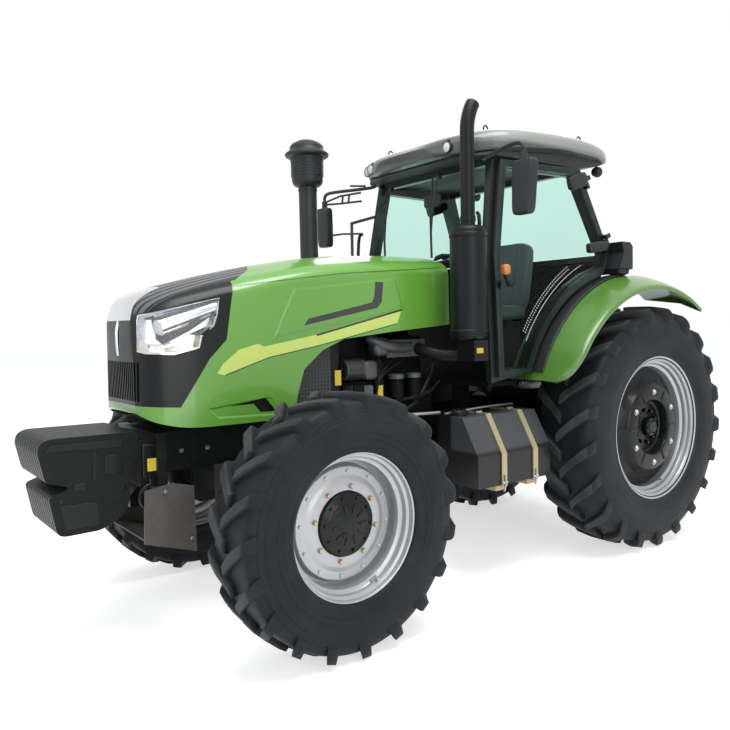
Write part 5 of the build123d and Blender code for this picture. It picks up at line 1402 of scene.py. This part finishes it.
class TRACTOR_OT_stage(bpy.types.Operator):
    """Pale floor, even sky, four soft lights and the camera."""

    bl_idname = "tractor.stage"
    bl_label = "Stage"

    def execute(self, context):
        stage = context.scene.tractor_stage
        context.scene.view_settings.view_transform = "Standard"
        self.camera(context, stage.lens)
        self.sky(context, stage.sky)
        self.floor()
        for name, at, size, share in LIGHTS:
            self.light(name, at, size, stage.key * share)
        return {"FINISHED"}

    def camera(self, context, lens):
        """The camera looks along a heading and a pitch, and leans a little about that line."""
        level = math.cos(PITCH)
        ahead = np.array([level * math.cos(HEADING), level * math.sin(HEADING), math.sin(PITCH)])
        right = np.cross(ahead, (0, 0, 1))
        right /= np.linalg.norm(right)
        down = np.cross(ahead, right)
        across = math.cos(ROLL) * right + math.sin(ROLL) * down
        below = -math.sin(ROLL) * right + math.cos(ROLL) * down
        data = bpy.data.cameras.new("camera")
        data.lens, data.sensor_width, data.clip_end = lens, 36.0, 200.0
        context.scene.camera = placed("camera", data)
        context.scene.camera.matrix_world = standing(across, -below, -ahead, CAMERA_AT)

    def sky(self, context, strength):
        """White where the camera, gloss or glass looks at it; an even soft light for the surfaces."""
        world = bpy.data.worlds.new("sky")
        context.scene.world = world
        world.use_nodes = True
        world.node_tree.nodes.clear()
        made = Nodes(world.node_tree)
        seen = made.node("ShaderNodeLightPath").outputs
        any_ray = made.any_of(*[Value(made, seen[f"Is {ray} Ray"]) for ray in ("Camera", "Glossy", "Transmission")])
        white = made.node("ShaderNodeBackground", None, {0: (1, 1, 1, 1), 1: 1.0})
        soft = made.node("ShaderNodeBackground", None, {0: (0.94, 0.97, 1.0, 1), 1: strength})
        blend = made.node("ShaderNodeMixShader", None, {0: any_ray, 1: soft.outputs[0], 2: white.outputs[0]})
        made.node("ShaderNodeOutputWorld", None, {0: blend.outputs[0]})

    def floor(self):
        """A wide level disc under the wheels; it shows white, and darkens only where the tractor shades it."""
        radius = np.concatenate([[0.0], np.geomspace(0.5, 60, 24)])
        turn = np.linspace(0, 2 * np.pi, 64, endpoint=False)
        across, along = radius[:, None] * np.cos(turn), radius[:, None] * np.sin(turn)
        points = np.stack([across, along, 0 * across], -1)
        mesh = bpy.data.meshes.new("floor")
        mesh.from_pydata(points.reshape(-1, 3).tolist(), [], grid(len(radius), len(turn), False, True).tolist())
        floor = placed("floor", mesh)
        made = Finish("floor_pale", Specular_IOR_Level=0.0)
        made.surface(made.mix(made.noise(0.8), (0.80, 0.80, 0.80, 1), (0.84, 0.84, 0.84, 1)),
                     made.noise(20.0) * 0.1 + 0.85)
        seen = made.node("ShaderNodeLightPath").outputs
        any_ray = made.any_of(*[Value(made, seen[name]) for name in ("Is Camera Ray", "Is Glossy Ray")])
        glow = made.node("ShaderNodeEmission", None, {"Color": (1, 1, 1, 1), "Strength": 0.60})
        plain = made.shader.outputs[0]
        both = made.node("ShaderNodeAddShader", None, {0: plain, 1: glow.outputs[0]})
        blend = made.node("ShaderNodeMixShader", None, {0: any_ray, 1: plain, 2: both.outputs[0]})
        made.tree.links.new(blend.outputs[0], made.output.inputs["Surface"])
        mesh.materials.append(made.material)

    def light(self, name, at, size, power):
        """A square area light that faces the middle of the tractor."""
        data = bpy.data.lights.new(name, "AREA")
        data.energy, data.size = power, size
        away = np.array(at) - TARGET
        away /= np.linalg.norm(away)
        right = np.cross((0, 0, 1), away)
        right /= np.linalg.norm(right)
        lamp = placed(name, data)
        lamp.matrix_world = standing(right, np.cross(away, right), away, at)
        lamp.visible_camera = lamp.visible_transmission = False


# ---------------------------------------------------------------- add-on
OPERATORS = (
    TRACTOR_OT_finishes, TRACTOR_OT_tyres, TRACTOR_OT_rims, TRACTOR_OT_hood, TRACTOR_OT_roof, TRACTOR_OT_fenders,
    TRACTOR_OT_stacks, TRACTOR_OT_mirrors, TRACTOR_OT_lamps, TRACTOR_OT_ballast, TRACTOR_OT_fittings,
    TRACTOR_OT_seat, TRACTOR_OT_stage)


class TRACTOR_PT_panel(bpy.types.Panel):
    """Sidebar panel with the sizes, the colours and a button for every group of pieces."""

    bl_label = "Farm tractor"
    bl_idname = "TRACTOR_PT_panel"
    bl_space_type = "VIEW_3D"
    bl_region_type = "UI"
    bl_category = "Tractor"

    def draw(self, context):
        scene = context.scene
        for group in (scene.tractor_paint, scene.tractor_wheels, scene.tractor_stage):
            box = self.layout.box()
            for key in group.__annotations__:
                box.prop(group, key)
        for operator in OPERATORS:
            self.layout.operator(operator.bl_idname)


CLASSES = (TractorPaint, TractorWheels, TractorStage) + OPERATORS + (TRACTOR_PT_panel,)


def register():
    """Adds the settings, the operators and the panel to Blender."""
    for made in CLASSES:
        bpy.utils.register_class(made)
    bpy.types.Scene.tractor_paint = bpy.props.PointerProperty(type=TractorPaint)
    bpy.types.Scene.tractor_wheels = bpy.props.PointerProperty(type=TractorWheels)
    bpy.types.Scene.tractor_stage = bpy.props.PointerProperty(type=TractorStage)


def unregister():
    """Takes them out again."""
    for key in ("tractor_paint", "tractor_wheels", "tractor_stage"):
        delattr(bpy.types.Scene, key)
    for made in reversed(CLASSES):
        bpy.utils.unregister_class(made)


def main():
    """Runs every operator in turn."""
    register()
    for operator in OPERATORS:
        group, name = operator.bl_idname.split(".")
        getattr(getattr(bpy.ops, group), name)()


if __name__ == "__main__":
    main()
